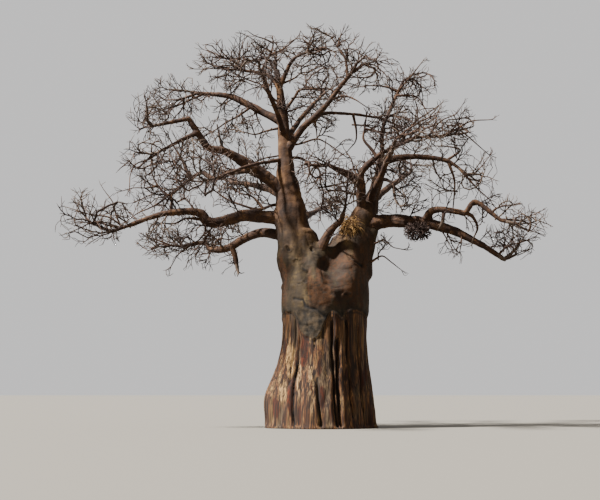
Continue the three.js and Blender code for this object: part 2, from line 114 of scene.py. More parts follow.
# %% Limb survey
LIMBS = {
    "left_stem": ["trunk", [-1.15, -0.3, 9.1], 1.3, [
        [2.0, 180, 83, 1.2], [2.95, 178, 79, 0.86], [1.7, 142, 85, 0.5],
        [2.85, 115, 83, 0.36], [3.2, 142, 81, 0.19]]],
    "right_stem": ["trunk", [1.75, 0.3, 9.1], 1.45, [
        [1.65, 5, 83, 1.36], [1.9, 17, 69, 0.9], [2.1, 22, 67, 0.36], [2.1, 10, 74, 0.26]]],
    "big_left": ["left_stem", 1.5, 0.46, [
        [2.9, 186, 3, 0.37], [2.3, 191, -9, 0.31], [0.6, 199, 50, 0.28], [2.2, 191, -2, 0.2],
        [2.9, 188, -20, 0.12]]],
    "low_left": ["left_stem", 1.1, 0.36, [
        [2.3, 158, 12, 0.3], [2.9, 150, -16, 0.22], [0.88, 156, -3, 0.19],
        [0.12, 156, -3, 0.18], [0.12, 153, 46, 0.17], [0.53, 153, 46, 0.15],
        [1.0, 162, -5, 0.11]]],
    "upper_left": ["left_stem", 2.1, 0.44, [
        [2.5, 194, 34, 0.36], [1.9, 201, 29, 0.26], [1.35, 202, 8, 0.2]]],
    "elbow": ["upper_left", 3, 0.19, [
        [1.9, 200, 55, 0.16], [0.15, 200, 55, 0.16], [0.15, 190, -14, 0.155],
        [1.65, 190, -14, 0.1]]],
    "elbow_low": ["elbow", 0.5, 0.15, [[2.8, 213, -30, 0.09]]],
    "mid_left": ["upper_left", 1, 0.22, [
        [2.0, 140, 0, 0.18], [1.2, 155, -11, 0.16], [1.0, 154, 25, 0.14],
        [1.6, 153, -25, 0.09]]],
    "high_left": ["left_stem", 4.05, 0.26, [
        [2.6, 165, 30, 0.24], [1.4, 166, 25, 0.19], [1.9, 165, 10, 0.13]]],
    "top_left": ["left_stem", 4.8, 0.16, [[1.1, 152, 47, 0.14], [1.9, 158, 16, 0.09]]],
    "top_right": ["left_stem", 4.78, 0.15, [[2.05, 346, 61, 0.12], [0.95, 347, 23, 0.09]]],
    "right_arm": ["left_stem", 3.4, 0.27, [
        [1.7, 332, 50, 0.22], [1.3, 338, 37, 0.2], [3.0, 334, 46, 0.13]]],
    "cross": ["right_arm", 1.9, 0.14, [
        [0.9, 54, 26, 0.12], [2.5, 42, 9, 0.1], [1.5, 33, 1, 0.08]]],
    "right_low": ["right_stem", 1.8, 0.5, [
        [1.9, 348, 10, 0.42], [1.9, 342, -4, 0.36], [2.0, 345, -17, 0.28],
        [2.0, 350, -27, 0.21], [1.2, 0, -33, 0.15]]],
    "right_arch": ["right_low", 2.12, 0.22, [
        [0.95, 308, 43, 0.21], [1.6, 334, -5, 0.19], [0.5, 334, -15, 0.18],
        [0.85, 339, 50, 0.165], [0.85, 343, -33, 0.15], [1.05, 346, -40, 0.13],
        [0.65, 351, -17, 0.1]]],
    "inner_right": ["right_stem", 2.1, 0.32, [
        [2.15, 260, 59, 0.28], [0.85, 283, 68, 0.24], [1.6, 335, 41, 0.16],
        [1.5, 334, 20, 0.1]]],
    "inner_left": ["inner_right", 1.3, 0.28, [[0.95, 214, 21, 0.24], [1.3, 215, 16, 0.13]]],
    "right_mid": ["right_stem", 3.92, 0.22, [
        [1.55, 348, 12, 0.19], [2.6, 347, -9, 0.15], [1.1, 347, -35, 0.09]]],
    "right_leader": ["right_stem", 4, 0.15, [
        [1.9, 84, 75, 0.13], [1.4, 46, 67, 0.12], [2.3, 28, 63, 0.09]]],
    "right_upper": ["right_stem", 3.75, 0.16, [
        [1.9, 35, 52, 0.14], [1.2, 28, 29, 0.12], [2.7, 22, 10, 0.09]]],
    "notch": ["trunk", [0, -0.9, 10.6], 0.3, [
        [1.4, 335, 59, 0.24], [0.85, 326, 35, 0.18], [1.2, 280, 26, 0.09]]],
    "hanging": ["right_stem", 3.2, 0.14, [
        [0.8, 303, 21, 0.12], [0.85, 310, -23, 0.1], [0.8, 279, -50, 0.08]]],
    "low_spur": ["right_low", 1.55, 0.12, [[1.0, 290, -30, 0.09]]],
    "front_left": ["left_stem", 3.25, 0.13, [
        [2.8, 222, -15, 0.11], [2.35, 231, -22, 0.09], [2.0, 243, -19, 0.07]]],
    "front_mid": ["left_stem", 3.75, 0.2, [
        [1.9, 256, 34, 0.16], [2.2, 252, 28, 0.13], [1.9, 262, 14, 0.09]]],
    "front_right": ["right_stem", 2.6, 0.27, [
        [2.0, 285, 30, 0.22], [2.6, 282, 26, 0.16], [2.2, 276, 14, 0.1]]],
    "back_left": ["left_stem", 1.85, 0.34, [
        [2.6, 112, 25, 0.28], [3.0, 124, 16, 0.19], [2.4, 122, 12, 0.11]]],
    "back_right": ["right_stem", 2.3, 0.3, [
        [2.7, 66, 32, 0.24], [3.2, 58, 26, 0.17], [2.6, 68, 20, 0.1]]],
    "back_high": ["left_stem", 3.6, 0.22, [
        [2.7, 66, 42, 0.17], [2.9, 60, 38, 0.13], [2.0, 72, 28, 0.09]]],
    "back_low": ["left_stem", 1.3, 0.32, [
        [2.7, 77, 23, 0.26], [2.7, 75, 16, 0.18], [2.4, 80, 14, 0.1]]],
}


def heading(turn, rise):
    turn, rise = math.radians(turn), math.radians(rise)
    return np.array([math.cos(rise) * math.cos(turn), math.cos(rise) * math.sin(turn),
                     math.sin(rise)])


print(len(LIMBS), "limbs")

# %% [markdown]
# ## Thinner limbs
# The solids stop at the main boughs. The thin limbs between them were surveyed in the same
# way, and each starts from a bough or from another thin limb. Leading thin limbs through the
# crown one by one, rather than by the growth rule, keeps its network and its gaps as they are.

# %% Thin limbs
THIN_LIMBS = {
    "top_a": ["top_left", 1.34, 0.097, [
        [1.74, 30, 63, 0.06], [0.55, 47, 75, 0.049], [0.48, 149, 81, 0.039]]],
    "top_b": ["top_a", 2.02, 0.055, [
        [0.6, 201, 20, 0.043], [0.68, 199, 12, 0.031], [0.46, 214, 22, 0.022]]],
    "top_c": ["top_a", 0.94, 0.055, [
        [0.82, 190, 27, 0.042], [0.63, 198, 38, 0.032], [0.68, 205, 21, 0.022]]],
    "top_d": ["top_a", 0.76, 0.067, [
        [0.83, 6, 27, 0.054], [0.67, 7, 37, 0.044], [0.85, 4, 45, 0.031],
        [0.27, 337, 69, 0.027]]],
    "top_e": ["top_right", 2.0, 0.06, [
        [0.43, 280, 75, 0.05], [0.57, 3, 65, 0.038], [0.29, 340, 55, 0.032]]],
    "top_f": ["top_right", 1.98, 0.061, [
        [0.87, 8, -11, 0.046], [0.69, 20, 29, 0.034], [0.58, 23, -4, 0.024]]],
    "top_g": ["top_e", 0.42, 0.048, [
        [0.56, 359, 52, 0.036], [0.43, 2, 37, 0.027], [0.36, 330, 11, 0.019]]],
    "top_h": ["right_arm", 3.0, 0.079, [
        [1.24, 162, 82, 0.062], [0.83, 165, 57, 0.05], [0.8, 167, 59, 0.039],
        [0.56, 179, 30, 0.032]]],
    "top_i": ["top_h", 2.0, 0.055, [[0.6, 1, 76, 0.033], [0.32, 325, 63, 0.022]]],
    "stem_a": ["left_stem", 4.83, 0.067, [
        [1.09, 348, 21, 0.051], [0.52, 342, 33, 0.043], [0.58, 353, 8, 0.034],
        [0.52, 335, 31, 0.027]]],
    "stem_b": ["stem_a", 1.98, 0.048, [
        [0.44, 19, 82, 0.04], [0.69, 352, 35, 0.027], [0.42, 347, 58, 0.019]]],
    "stem_c": ["left_stem", 4.23, 0.097, [
        [1.3, 335, 50, 0.079], [0.5, 3, 57, 0.072], [0.74, 342, 2, 0.061],
        [1.03, 354, 0, 0.047], [0.56, 345, -25, 0.039]]],
    "stem_d": ["left_stem", 4.44, 0.073, [
        [0.53, 163, 36, 0.068], [0.88, 148, 45, 0.059], [0.63, 154, 49, 0.053],
        [0.77, 167, 24, 0.046], [0.9, 158, 26, 0.037], [0.85, 159, 28, 0.029]]],
    "stem_e": ["left_stem", 4.9, 0.055, [
        [0.87, 173, 31, 0.041], [0.63, 179, 7, 0.032], [0.68, 168, 37, 0.022]]],
    "stem_f": ["left_stem", 3.96, 0.073, [
        [1.14, 193, -15, 0.057], [0.77, 193, -19, 0.046], [0.7, 198, 8, 0.036],
        [0.51, 188, -2, 0.029]]],
    "stem_g": ["left_stem", 3.41, 0.061, [
        [0.46, 197, -31, 0.055], [1.02, 188, -13, 0.044], [0.88, 196, -29, 0.034],
        [0.85, 190, -28, 0.024]]],
    "stem_h": ["left_stem", 1.82, 0.109, [
        [1.0, 169, -3, 0.096], [0.92, 168, -14, 0.083], [1.06, 172, 15, 0.069],
        [1.05, 171, 23, 0.055], [0.82, 182, 34, 0.044]]],
    "stem_i": ["stem_h", 1.69, 0.073, [
        [1.04, 161, 47, 0.055], [0.84, 173, 19, 0.041], [0.72, 170, 28, 0.029]]],
    "stem_j": ["left_stem", 3.56, 0.073, [
        [0.84, 7, 7, 0.064], [1.22, 357, 14, 0.051], [0.62, 357, -25, 0.044],
        [0.77, 348, -36, 0.036], [0.66, 357, -37, 0.029]]],
    "stem_k": ["left_stem", 3.27, 0.091, [
        [0.92, 12, 3, 0.08], [0.83, 14, -28, 0.07], [0.55, 1, -34, 0.064],
        [0.82, 61, -75, 0.054], [0.81, 359, -76, 0.044], [0.66, 127, -75, 0.036]]],
    "stem_l": ["left_stem", 4.25, 0.055, [
        [1.08, 345, 15, 0.039], [0.6, 335, 20, 0.03], [0.57, 351, 57, 0.022]]],
    "spur_a": ["top_left", 1.9, 0.055, [[1.21, 125, 81, 0.036], [0.87, 110, 78, 0.022]]],
    "spur_b": ["top_left", 1.94, 0.067, [
        [0.76, 193, 42, 0.053], [0.7, 190, 33, 0.041], [0.78, 206, 49, 0.027]]],
    "spur_c": ["spur_b", 1.2, 0.055, [
        [0.69, 170, 23, 0.043], [0.84, 166, 26, 0.03], [0.48, 179, 20, 0.022]]],
    "spur_d": ["top_left", 1.85, 0.055, [
        [0.8, 206, 17, 0.047], [0.99, 201, -6, 0.037], [0.85, 193, -17, 0.029],
        [0.69, 192, -3, 0.022]]],
    "high_a": ["high_left", 0.9, 0.079, [
        [1.07, 182, -37, 0.064], [0.88, 178, -28, 0.052], [0.82, 174, -34, 0.041],
        [0.72, 185, -31, 0.032]]],
    "high_b": ["high_left", 0.8, 0.055, [[0.78, 37, -74, 0.039], [0.86, 25, -57, 0.022]]],
    "high_c": ["high_left", 1.99, 0.055, [[0.64, 168, -42, 0.039], [0.67, 146, -66, 0.022]]],
    "high_d": ["high_left", 2.91, 0.073, [
        [0.98, 179, -24, 0.062], [0.96, 179, -24, 0.051], [1.19, 176, -15, 0.038],
        [0.83, 177, -32, 0.029]]],
    "high_e": ["high_left", 1.92, 0.048, [[0.95, 246, 70, 0.029], [0.48, 201, 18, 0.019]]],
    "cross_a": ["cross", 2.1, 0.076, [
        [1.11, 39, -76, 0.054], [0.64, 173, -85, 0.042], [0.6, 179, -52, 0.03]]],
    "cross_b": ["inner_right", 2.83, 0.103, [
        [0.51, 177, 56, 0.092], [0.85, 178, 53, 0.072], [0.64, 43, 81, 0.058],
        [0.74, 325, 80, 0.041]]],
    "cross_c": ["cross_b", 3.02, 0.067, [
        [0.93, 6, -9, 0.053], [1.0, 12, 0, 0.038], [0.73, 3, 25, 0.027]]],
    "cross_d": ["right_arm", 1.88, 0.061, [[0.8, 60, -73, 0.037], [0.43, 79, -67, 0.024]]],
    "in_a": ["right_stem", 2.83, 0.091, [
        [1.02, 181, 9, 0.077], [1.01, 179, 15, 0.064], [0.8, 186, 2, 0.053],
        [0.66, 229, 79, 0.044], [0.57, 85, 88, 0.036]]],
    "in_b": ["inner_right", 1.45, 0.055, [
        [0.69, 169, 59, 0.044], [0.69, 212, 70, 0.033], [0.74, 180, 57, 0.022]]],
    "lead_a": ["right_leader", 2.78, 0.073, [
        [0.84, 179, 22, 0.058], [0.9, 177, 6, 0.043], [0.77, 180, -6, 0.029]]],
    "lead_b": ["right_leader", 2.82, 0.073, [[1.15, 3, 50, 0.05], [1.04, 6, 52, 0.029]]],
    "lead_c": ["right_leader", 2.65, 0.067, [
        [1.26, 351, -5, 0.048], [0.8, 349, -53, 0.037], [0.68, 325, -63, 0.027]]],
    "lead_d": ["right_leader", 1.88, 0.061, [[0.95, 23, 26, 0.04], [0.75, 39, 50, 0.024]]],
    "up_a": ["right_upper", 1.5, 0.079, [
        [1.64, 346, 53, 0.055], [0.86, 346, 32, 0.043], [0.81, 341, 32, 0.032]]],
    "up_b": ["right_upper", 2.56, 0.061, [
        [1.3, 328, 45, 0.044], [1.06, 345, 23, 0.031], [0.53, 319, 44, 0.024]]],
    "up_c": ["right_upper", 2.94, 0.073, [
        [0.98, 4, 28, 0.06], [1.08, 2, 28, 0.046], [1.29, 4, 6, 0.029]]],
    "up_d": ["right_upper", 2.98, 0.067, [
        [0.99, 7, 24, 0.055], [0.67, 9, -31, 0.047], [1.13, 8, -40, 0.034],
        [0.59, 2, -41, 0.027]]],
    "mid_a": ["right_mid", 1.96, 0.079, [
        [1.13, 6, 38, 0.058], [0.54, 189, 19, 0.048], [0.92, 177, 5, 0.032]]],
    "mid_b": ["right_mid", 2.04, 0.085, [
        [1.25, 319, -70, 0.065], [0.95, 258, -78, 0.049], [0.94, 244, -73, 0.034]]],
    "mid_c": ["right_mid", 1.61, 0.055, [[1.04, 42, -66, 0.038], [0.96, 16, -38, 0.022]]],
    "mid_d": ["right_mid", 2.87, 0.079, [
        [0.78, 318, -49, 0.065], [1.01, 325, -48, 0.048], [0.96, 331, -44, 0.032]]],
    "mid_e": ["right_mid", 2.98, 0.055, [
        [0.59, 17, -25, 0.046], [0.81, 13, 35, 0.035], [0.89, 0, 51, 0.022]]],
    "mid_f": ["right_mid", 0.85, 0.055, [
        [0.7, 138, -71, 0.043], [0.75, 336, -83, 0.031], [0.61, 23, -57, 0.022]]],
    "hang_a": ["hanging", 2.39, 0.055, [
        [0.65, 2, -42, 0.043], [0.62, 349, -43, 0.032], [0.6, 182, -61, 0.022]]],
    "left_a": ["mid_left", 3.88, 0.085, [
        [1.21, 185, -39, 0.07], [0.99, 175, 43, 0.058], [1.02, 169, 65, 0.046],
        [0.95, 179, 89, 0.034]]],
    "left_b": ["mid_left", 3.54, 0.12, [
        [0.64, 169, 61, 0.1], [0.7, 197, 66, 0.08], [0.86, 176, 58, 0.055],
        [0.62, 192, 59, 0.035]]],
    "left_c": ["left_a", 1.94, 0.055, [
        [0.72, 188, -13, 0.044], [0.81, 192, -2, 0.031], [0.64, 190, -16, 0.022]]],
    "left_d": ["elbow_low", 1.0, 0.061, [
        [0.91, 203, -39, 0.051], [0.74, 191, -21, 0.042], [0.71, 206, -61, 0.034],
        [0.91, 267, -72, 0.024]]],
    "left_e": ["left_a", 1.07, 0.067, [
        [0.53, 183, -45, 0.06], [0.87, 203, -32, 0.048], [0.87, 197, -26, 0.037],
        [0.76, 187, -37, 0.027]]],
    "left_f": ["elbow_low", 0.38, 0.055, [
        [1.36, 238, -72, 0.042], [1.03, 202, -58, 0.032], [1.07, 216, -52, 0.022]]],
    "low_a": ["big_left", 2.18, 0.091, [
        [0.6, 188, 6, 0.08], [0.65, 194, -1, 0.067], [0.72, 204, -27, 0.054],
        [0.91, 198, -1, 0.036]]],
    "low_b": ["low_left", 7, 0.067, [
        [0.95, 184, -4, 0.053], [0.95, 183, 18, 0.04], [0.91, 197, 15, 0.027]]],
    "low_c": ["low_left", 7, 0.055, [[0.99, 185, -40, 0.036], [0.74, 182, -60, 0.022]]],
    "low_d": ["low_left", 2.9, 0.061, [
        [0.77, 29, 63, 0.048], [0.76, 4, 1, 0.036], [0.68, 6, 23, 0.024]]],
    "low_e": ["low_left", 1.78, 0.17, [[0.89, 346, -71, 0.14], [0.4, 10, -81, 0.1]]],
    "low_f": ["big_left", 3.85, 0.061, [[0.73, 88, 82, 0.04], [0.57, 66, 79, 0.024]]],
    "low_g": ["big_left", 2.32, 0.073, [
        [0.87, 275, -72, 0.053], [0.61, 192, -54, 0.039], [0.42, 200, -28, 0.029]]],
    "far_a": ["big_left", 4.93, 0.055, [
        [0.86, 170, 66, 0.044], [0.76, 167, 74, 0.034], [1.0, 169, 54, 0.022]]],
    "far_b": ["big_left", 4.88, 0.055, [
        [1.1, 194, 31, 0.045], [0.95, 184, 7, 0.036], [0.98, 191, 16, 0.027],
        [0.62, 180, 17, 0.022]]],
    "far_c": ["big_left", 4.95, 0.061, [
        [0.76, 190, 13, 0.052], [0.84, 196, 10, 0.042], [0.9, 197, -26, 0.032],
        [0.63, 187, -23, 0.024]]],
    "arch_a": ["right_arch", 5.43, 0.067, [
        [0.26, 331, 58, 0.059], [0.58, 337, 21, 0.042], [0.53, 340, 3, 0.027]]],
    "arch_b": ["right_arch", 6, 0.067, [
        [0.75, 11, 1, 0.054], [0.79, 17, -6, 0.04], [0.78, 5, -22, 0.027]]],
    "arch_c": ["right_arch", 3, 0.1, [
        [0.45, 10, -20, 0.09], [0.8, 30, -60, 0.07], [0.62, 148, -67, 0.04]]],
    "arch_d": ["right_arch", 1.5, 0.1, [[0.65, 180, -80, 0.09]]],
    "arm_a": ["right_low", 2.35, 0.055, [[0.88, 20, 86, 0.037], [0.81, 73, 86, 0.022]]],
    "arm_b": ["right_low", 4.94, 0.067, [
        [0.83, 326, 38, 0.053], [0.75, 334, 11, 0.04], [0.83, 334, 18, 0.027]]],
    "arm_c": ["right_low", 2.45, 0.05, [
        [0.56, 350, -41, 0.04], [0.7, 350, -59, 0.03], [0.4, 340, -63, 0.022]]],
    "arm_d": ["right_arm", 2.45, 0.08, [
        [0.85, 340, 12, 0.06], [0.75, 340, -20, 0.045], [0.8, 340, -35, 0.03]]],
    "trunk_a": ["trunk", [3.1, -0.3, 9.94], 0.061, [
        [0.79, 10, 29, 0.047], [0.7, 23, -29, 0.036], [0.7, 5, -38, 0.024]]],
    "trunk_b": ["trunk", [3.29, -0.3, 11.04], 0.055, [
        [0.69, 332, 17, 0.043], [0.7, 348, -39, 0.03], [0.5, 351, -15, 0.022]]],
}

print(len(THIN_LIMBS), "thin limbs")

# %% [markdown]
# ## From legs to smooth lines
# A limb doesn't turn in corners. A centripetal Catmull-Rom curve goes through every joint of
# the survey without overshooting at the short legs, which is why it is used for the solids too.

# %% Smooth lines
LENGTH_STEPS = 200


def through(a, b, c, d, t):
    """A point between b and c on the centripetal curve through a, b, c and d."""
    knots = [max(np.linalg.norm(q - p) ** 0.5, 1e-9) for p, q in ((a, b), (b, c), (c, d))]
    first, middle, last = knots
    leave = ((b - a) / first - (c - a) / (first + middle) + (c - b) / middle) * middle
    arrive = ((c - b) / middle - (d - b) / (middle + last) + (d - c) / last) * middle
    return (b + leave * t + (-3 * b + 3 * c - 2 * leave - arrive) * t ** 2
            + (2 * b - 2 * c + leave + arrive) * t ** 3)


def along_joints(joints, place):
    """The point at a place counted in legs: 1.5 is half way along the second leg."""
    leg = min(int(place), len(joints) - 2)
    before = joints[leg - 1] if leg > 0 else 2 * joints[0] - joints[1]
    after = joints[leg + 2] if leg + 2 < len(joints) else 2 * joints[-1] - joints[-2]
    return through(before, joints[leg], joints[leg + 1], after, place - leg)


def trace_limb(row, limbs):
    parent, where, radius, legs = row
    if isinstance(where, list):
        joints = [np.array(where)]
    else:
        joints = [along_joints(limbs[parent]["joints"], where)]
    for length, turn, rise, _ in legs:
        joints.append(joints[-1] + heading(turn, rise) * length)
    return {"parent": parent, "joints": joints, "girths": [radius] + [leg[3] for leg in legs]}


def sample_limb(limb, steps):
    """Points and radii at even places along a limb."""
    count = len(limb["joints"]) - 1
    places = np.linspace(0, count, steps + 1)
    points = np.array([along_joints(limb["joints"], place) for place in places])
    return points, np.interp(places, range(count + 1), limb["girths"])


def limb_length(limb):
    points, _ = sample_limb(limb, LENGTH_STEPS)
    return np.linalg.norm(np.diff(points, axis=0), axis=1).sum()


limbs = {}
for name, row in {**LIMBS, **THIN_LIMBS}.items():
    limbs[name] = trace_limb(row, limbs)

# %% [markdown]
# ## Bark noise
# Relief needs a random field that is the same on every run. A lattice of hashed numbers with
# smooth steps between them gives one; stretched upwards it makes ribs, stretched sideways it
# makes creases.

# %% Noise in three dimensions


def hashed(cell, seed):
    """A number from 0 to 1 for each whole-number cell."""
    cell = cell.astype(np.int64)
    mixed = cell[:, 0] * 374761393 + cell[:, 1] * 668265263 + cell[:, 2] * 1440662683
    mixed = (mixed + seed * 974634777) & 0xFFFFFFFF
    mixed = ((mixed ^ (mixed >> 13)) * 1274126177) & 0xFFFFFFFF
    return ((mixed ^ (mixed >> 16)) & 0xFFFFFF) / 0xFFFFFF


def noise(points, size, seed, stretch=(1, 1, 1)):
    """Smooth noise from -1 to 1 whose lumps are about size metres across."""
    spots = points / (size * np.array(stretch))
    base = np.floor(spots)
    part = spots - base
    part = part * part * (3 - 2 * part)
    total = 0
    for dx in (0, 1):
        for dy in (0, 1):
            for dz in (0, 1):
                weight = (np.abs(1 - dx - part[:, 0]) * np.abs(1 - dy - part[:, 1])
                          * np.abs(1 - dz - part[:, 2]))
                total = total + weight * hashed(base + (dx, dy, dz), seed)
    return 2 * total - 1


def smooth(low, high, value):
    share = np.clip((value - low) / (high - low), 0, 1)
    return share * share * (3 - 2 * share)


print("noise", noise(np.array([[0.2, 0.4, 1.6]]), 1.0, 3).round(3))

# %% [markdown]
# ## The trunk
# A baobab's trunk is a huge bottle: a flaring foot, a straight waist and a swelling below the
# fork. By hand it is drawn up ring by ring: a filled circle is extruded and scaled many times.
# Here it is extruded the same way, and the solid's own sizes then move each ring, so the foot,
# the flutes and the lean come out where the solid has them.

# %% Trunk sizes
FORK_HEIGHT = 11.0
SHOULDER_HEIGHT = 7.6
WAIST_RADIUS = 2.59
ROOT_RADIUS = 3.29
ROOT_LIP = 0.11
ROOT_LIP_HEIGHT = 0.26
FLARE = (0.5, 5.6)
SHOULDER_SWELL = 0.06
SWELL_START = 6.4
LEAN = 0.29
LEAN_HEIGHTS = (1.0, 6.5)
FLUTE_DEPTH = 0.02
DOME_WIDTH_POWER = 0.35
DOME_DEPTH_POWER = 0.75
TRUNK_SIDES = 72
TRUNK_RINGS = 24
DOME_RINGS = 8
# The rings lie closer at the foot, and the dome closes over this share of a right angle.
RING_SPREAD = 1.25
DOME_CLOSES = 0.94
# The dip of the dome between the stems: its middle and half width in X, the heights between
# which it sets in, and how far it goes, as a share of the dome's depth.
DIP_MIDDLE = 0.9
DIP_HALF_WIDTH = 0.75
DIP_HEIGHTS = (8.0, 10.2)
DIP_SHARE = 0.5


def trunk_radius(height, angle):
    flare = 1 - smooth(*FLARE, height)
    swell = smooth(SWELL_START, SHOULDER_HEIGHT, height)
    radius = (WAIST_RADIUS + (ROOT_RADIUS - WAIST_RADIUS) * flare + SHOULDER_SWELL * swell
              + ROOT_LIP * np.exp(-height / ROOT_LIP_HEIGHT))
    flutes = (np.cos(5 * angle + 0.7) + 0.6 * np.cos(8 * angle + 2 + height / 4)
              + 0.4 * np.cos(13 * angle + 4))
    return radius * (1 + FLUTE_DEPTH * (0.5 + 0.9 * flare) * flutes)


def trunk_lean(height):
    return LEAN * smooth(*LEAN_HEIGHTS, height)


# %% Trunk, drawn up ring by ring


def clear_selection():
    if bpy.context.object and bpy.context.object.mode != "OBJECT":
        bpy.ops.object.mode_set(mode="OBJECT")
    bpy.ops.object.select_all(action="DESELECT")


def move_points(piece, move):
    """Puts each vertex where move(points) says."""
    points = np.empty(len(piece.data.vertices) * 3)
    piece.data.vertices.foreach_get("co", points)
    piece.data.vertices.foreach_set("co", move(points.reshape(-1, 3)).ravel())
    piece.data.update()


clear_selection()
bpy.ops.mesh.primitive_circle_add(vertices=TRUNK_SIDES, radius=1, fill_type="NGON")
trunk = bpy.context.object
trunk.name = "bark_trunk"
bpy.ops.object.mode_set(mode="EDIT")
bpy.ops.mesh.select_all(action="SELECT")
for ring in range(TRUNK_RINGS + DOME_RINGS):
    bpy.ops.mesh.extrude_region_move(TRANSFORM_OT_translate={"value": (0, 0, 1)})
bpy.ops.object.mode_set(mode="OBJECT")


def trunk_shape(points):
    """Turns the straight column of unit rings into the leaning, fluted bottle."""
    ring = np.round(points[:, 2])
    turn = np.clip((ring - TRUNK_RINGS) / DOME_RINGS, 0, 1) * DOME_CLOSES * math.pi / 2
    height = np.where(
        ring <= TRUNK_RINGS, SHOULDER_HEIGHT * (ring / TRUNK_RINGS) ** RING_SPREAD,
        SHOULDER_HEIGHT + (FORK_HEIGHT - SHOULDER_HEIGHT) * np.sin(turn))
    angle = np.arctan2(points[:, 1], points[:, 0])
    share = np.hypot(points[:, 0], points[:, 1])
    radius = trunk_radius(height, angle) * share
    wide = radius * np.cos(turn) ** DOME_WIDTH_POWER
    deep = radius * np.cos(turn) ** DOME_DEPTH_POWER
    x = trunk_lean(height) + wide * np.cos(angle)
    dip = np.exp(-((x - DIP_MIDDLE) / DIP_HALF_WIDTH) ** 2) * smooth(*DIP_HEIGHTS, height)
    return np.stack([x, deep * np.sin(angle) * (1 - DIP_SHARE * dip), height], 1)


move_points(trunk, trunk_shape)
print("trunk", len(trunk.data.vertices), "vertices")

# %% [markdown]
# ## Stems and boughs
# A limb is a path with a round bevel: the curve keeps its taper as a radius at each point.
# Where it leaves its parent a real bough spreads into a collar, so its root is widened there.
# The lines wander a little between the surveyed joints, because the wood is never straight.

# %% Limbs as bevelled paths
LIMB_STEP = 0.16
COLLAR_SHARE = 0.35
COLLAR_LENGTH = 0.45
WANDER = 0.22
WANDER_SIZE = 0.9
# Knots on a limb: how much thicker it gets, and how long they are.
KNOTS = ((0.10, 0.5), (0.06, 0.22))
BEVEL_RESOLUTION = 3
STEMS = ("left_stem", "right_stem")


def limb_line(name, step=LIMB_STEP):
    """Closely spaced points and radii, with a collar at the root and knots on the way."""
    limb = limbs[name]
    length = limb_length(limb)
    steps = max(6, round(length / step))
    points, radii = sample_limb(limb, steps)
    far = np.linspace(0, length, steps + 1)
    seed = 11 + 7 * list(limbs).index(name)
    ease = smooth(0, 1.0, far) * smooth(0, 0.6, length - far)
    stray = np.stack([noise(points, WANDER_SIZE, seed + k) for k in range(3)], 1)
    points = points + stray * (WANDER * np.minimum(radii, 0.4) * ease)[:, None]
    knots = 1 + sum(share * noise(points, size, seed + 3 + k)
                    for k, (share, size) in enumerate(KNOTS))
    share = 0 if name in STEMS else COLLAR_SHARE
    collar = 1 + share * np.exp(-far / COLLAR_LENGTH)
    return points, radii * np.where(far < 1e-6, 1, knots) * collar


def tube(name, points, radii):
    """A path object with a round bevel, turned into a closed mesh."""
    clear_selection()
    bpy.ops.curve.primitive_nurbs_path_add()
    path = bpy.context.object
    path.name = name
    path.data.splines.clear()
    spline = path.data.splines.new("POLY")
    spline.points.add(len(points) - 1)
    spline.points.foreach_set("co", np.c_[points, np.ones(len(points))].ravel())
    spline.points.foreach_set("radius", radii)
    path.data.dimensions = "3D"
    path.data.bevel_depth = 1
    path.data.bevel_resolution = BEVEL_RESOLUTION
    path.data.use_fill_caps = True
    bpy.ops.object.convert(target="MESH")
    return bpy.context.object


def join(target, pieces):
    clear_selection()
    for piece in pieces:
        piece.select_set(True)
    target.select_set(True)
    bpy.context.view_layer.objects.active = target
    bpy.ops.object.join()
    return target


def apply_modifier(piece, kind, **settings):
    clear_selection()
    piece.select_set(True)
    bpy.context.view_layer.objects.active = piece
    modifier = piece.modifiers.new(kind.lower(), kind)
    for key, value in settings.items():
        setattr(modifier, key, value)
    bpy.ops.object.modifier_apply(modifier=modifier.name)


tubes = {name: tube(name + "_wood", *limb_line(name)) for name in LIMBS}
print(len(tubes), "bevelled limbs")

# %% [markdown]
# ## One skin of wood
# Trunk, stems and the first stretch of every bough that leaves them are remeshed together into
# one skin, then relaxed, so the crotches fill as they do in growing wood. A boolean union would
# leave a sharp seam at every root, which is why voxels are used. The boughs run on as pieces of
# their own, and the roots of those that leave the trunk and stems lie inside that skin.

# %% Trunk and stems
TRUNK_VOXEL = 0.068
BOUGH_VOXEL = 0.041
STUB_LENGTH = 1.1
STUB_FADE = (1.04, 0.7)
SMOOTH_FACTOR = 0.5
SKIN_ROUNDS = 4
CROTCH_ROUNDS = 60
BOUGH_ROUNDS = 2
# The heights between which the crotches' smoothing sets in, and ends again.
CROTCH_FROM = (6.4, 8.0)
CROTCH_UP_TO = (14.5, 12.0)
# Bulges that carry the trunk on into its stems: X, Y, height and radius along each.
FLANKS = (
    ([(0.2, 0, 5.2, 2.0), (-0.25, -0.1, 6.9, 2.0), (-0.72, -0.2, 8.6, 1.6),
      (-1.1, -0.28, 10.2, 1.36), (-1.35, -0.3, 11.6, 1.15)]),
    ([(0.45, 0, 5.2, 2.0), (0.85, 0.1, 6.9, 2.0), (1.3, 0.2, 8.6, 1.6),
      (1.75, 0.28, 10.2, 1.48), (1.95, 0.3, 11.4, 1.25)]),
    ([(2.2, 0.2, 9.4, 0.8), (2.75, 0.15, 11.0, 0.7), (3.25, 0.1, 11.8, 0.42),
      (3.6, 0.05, 12.05, 0.15)]),
)


def stub(name):
    """The root of a bough, which sinks into the bough itself as it goes out."""
    points, radii = limb_line(name)
    count = max(4, round(STUB_LENGTH / LIMB_STEP))
    fade = np.linspace(*STUB_FADE, count)
    return tube(name + "_stub", points[:count], radii[:count] * fade)


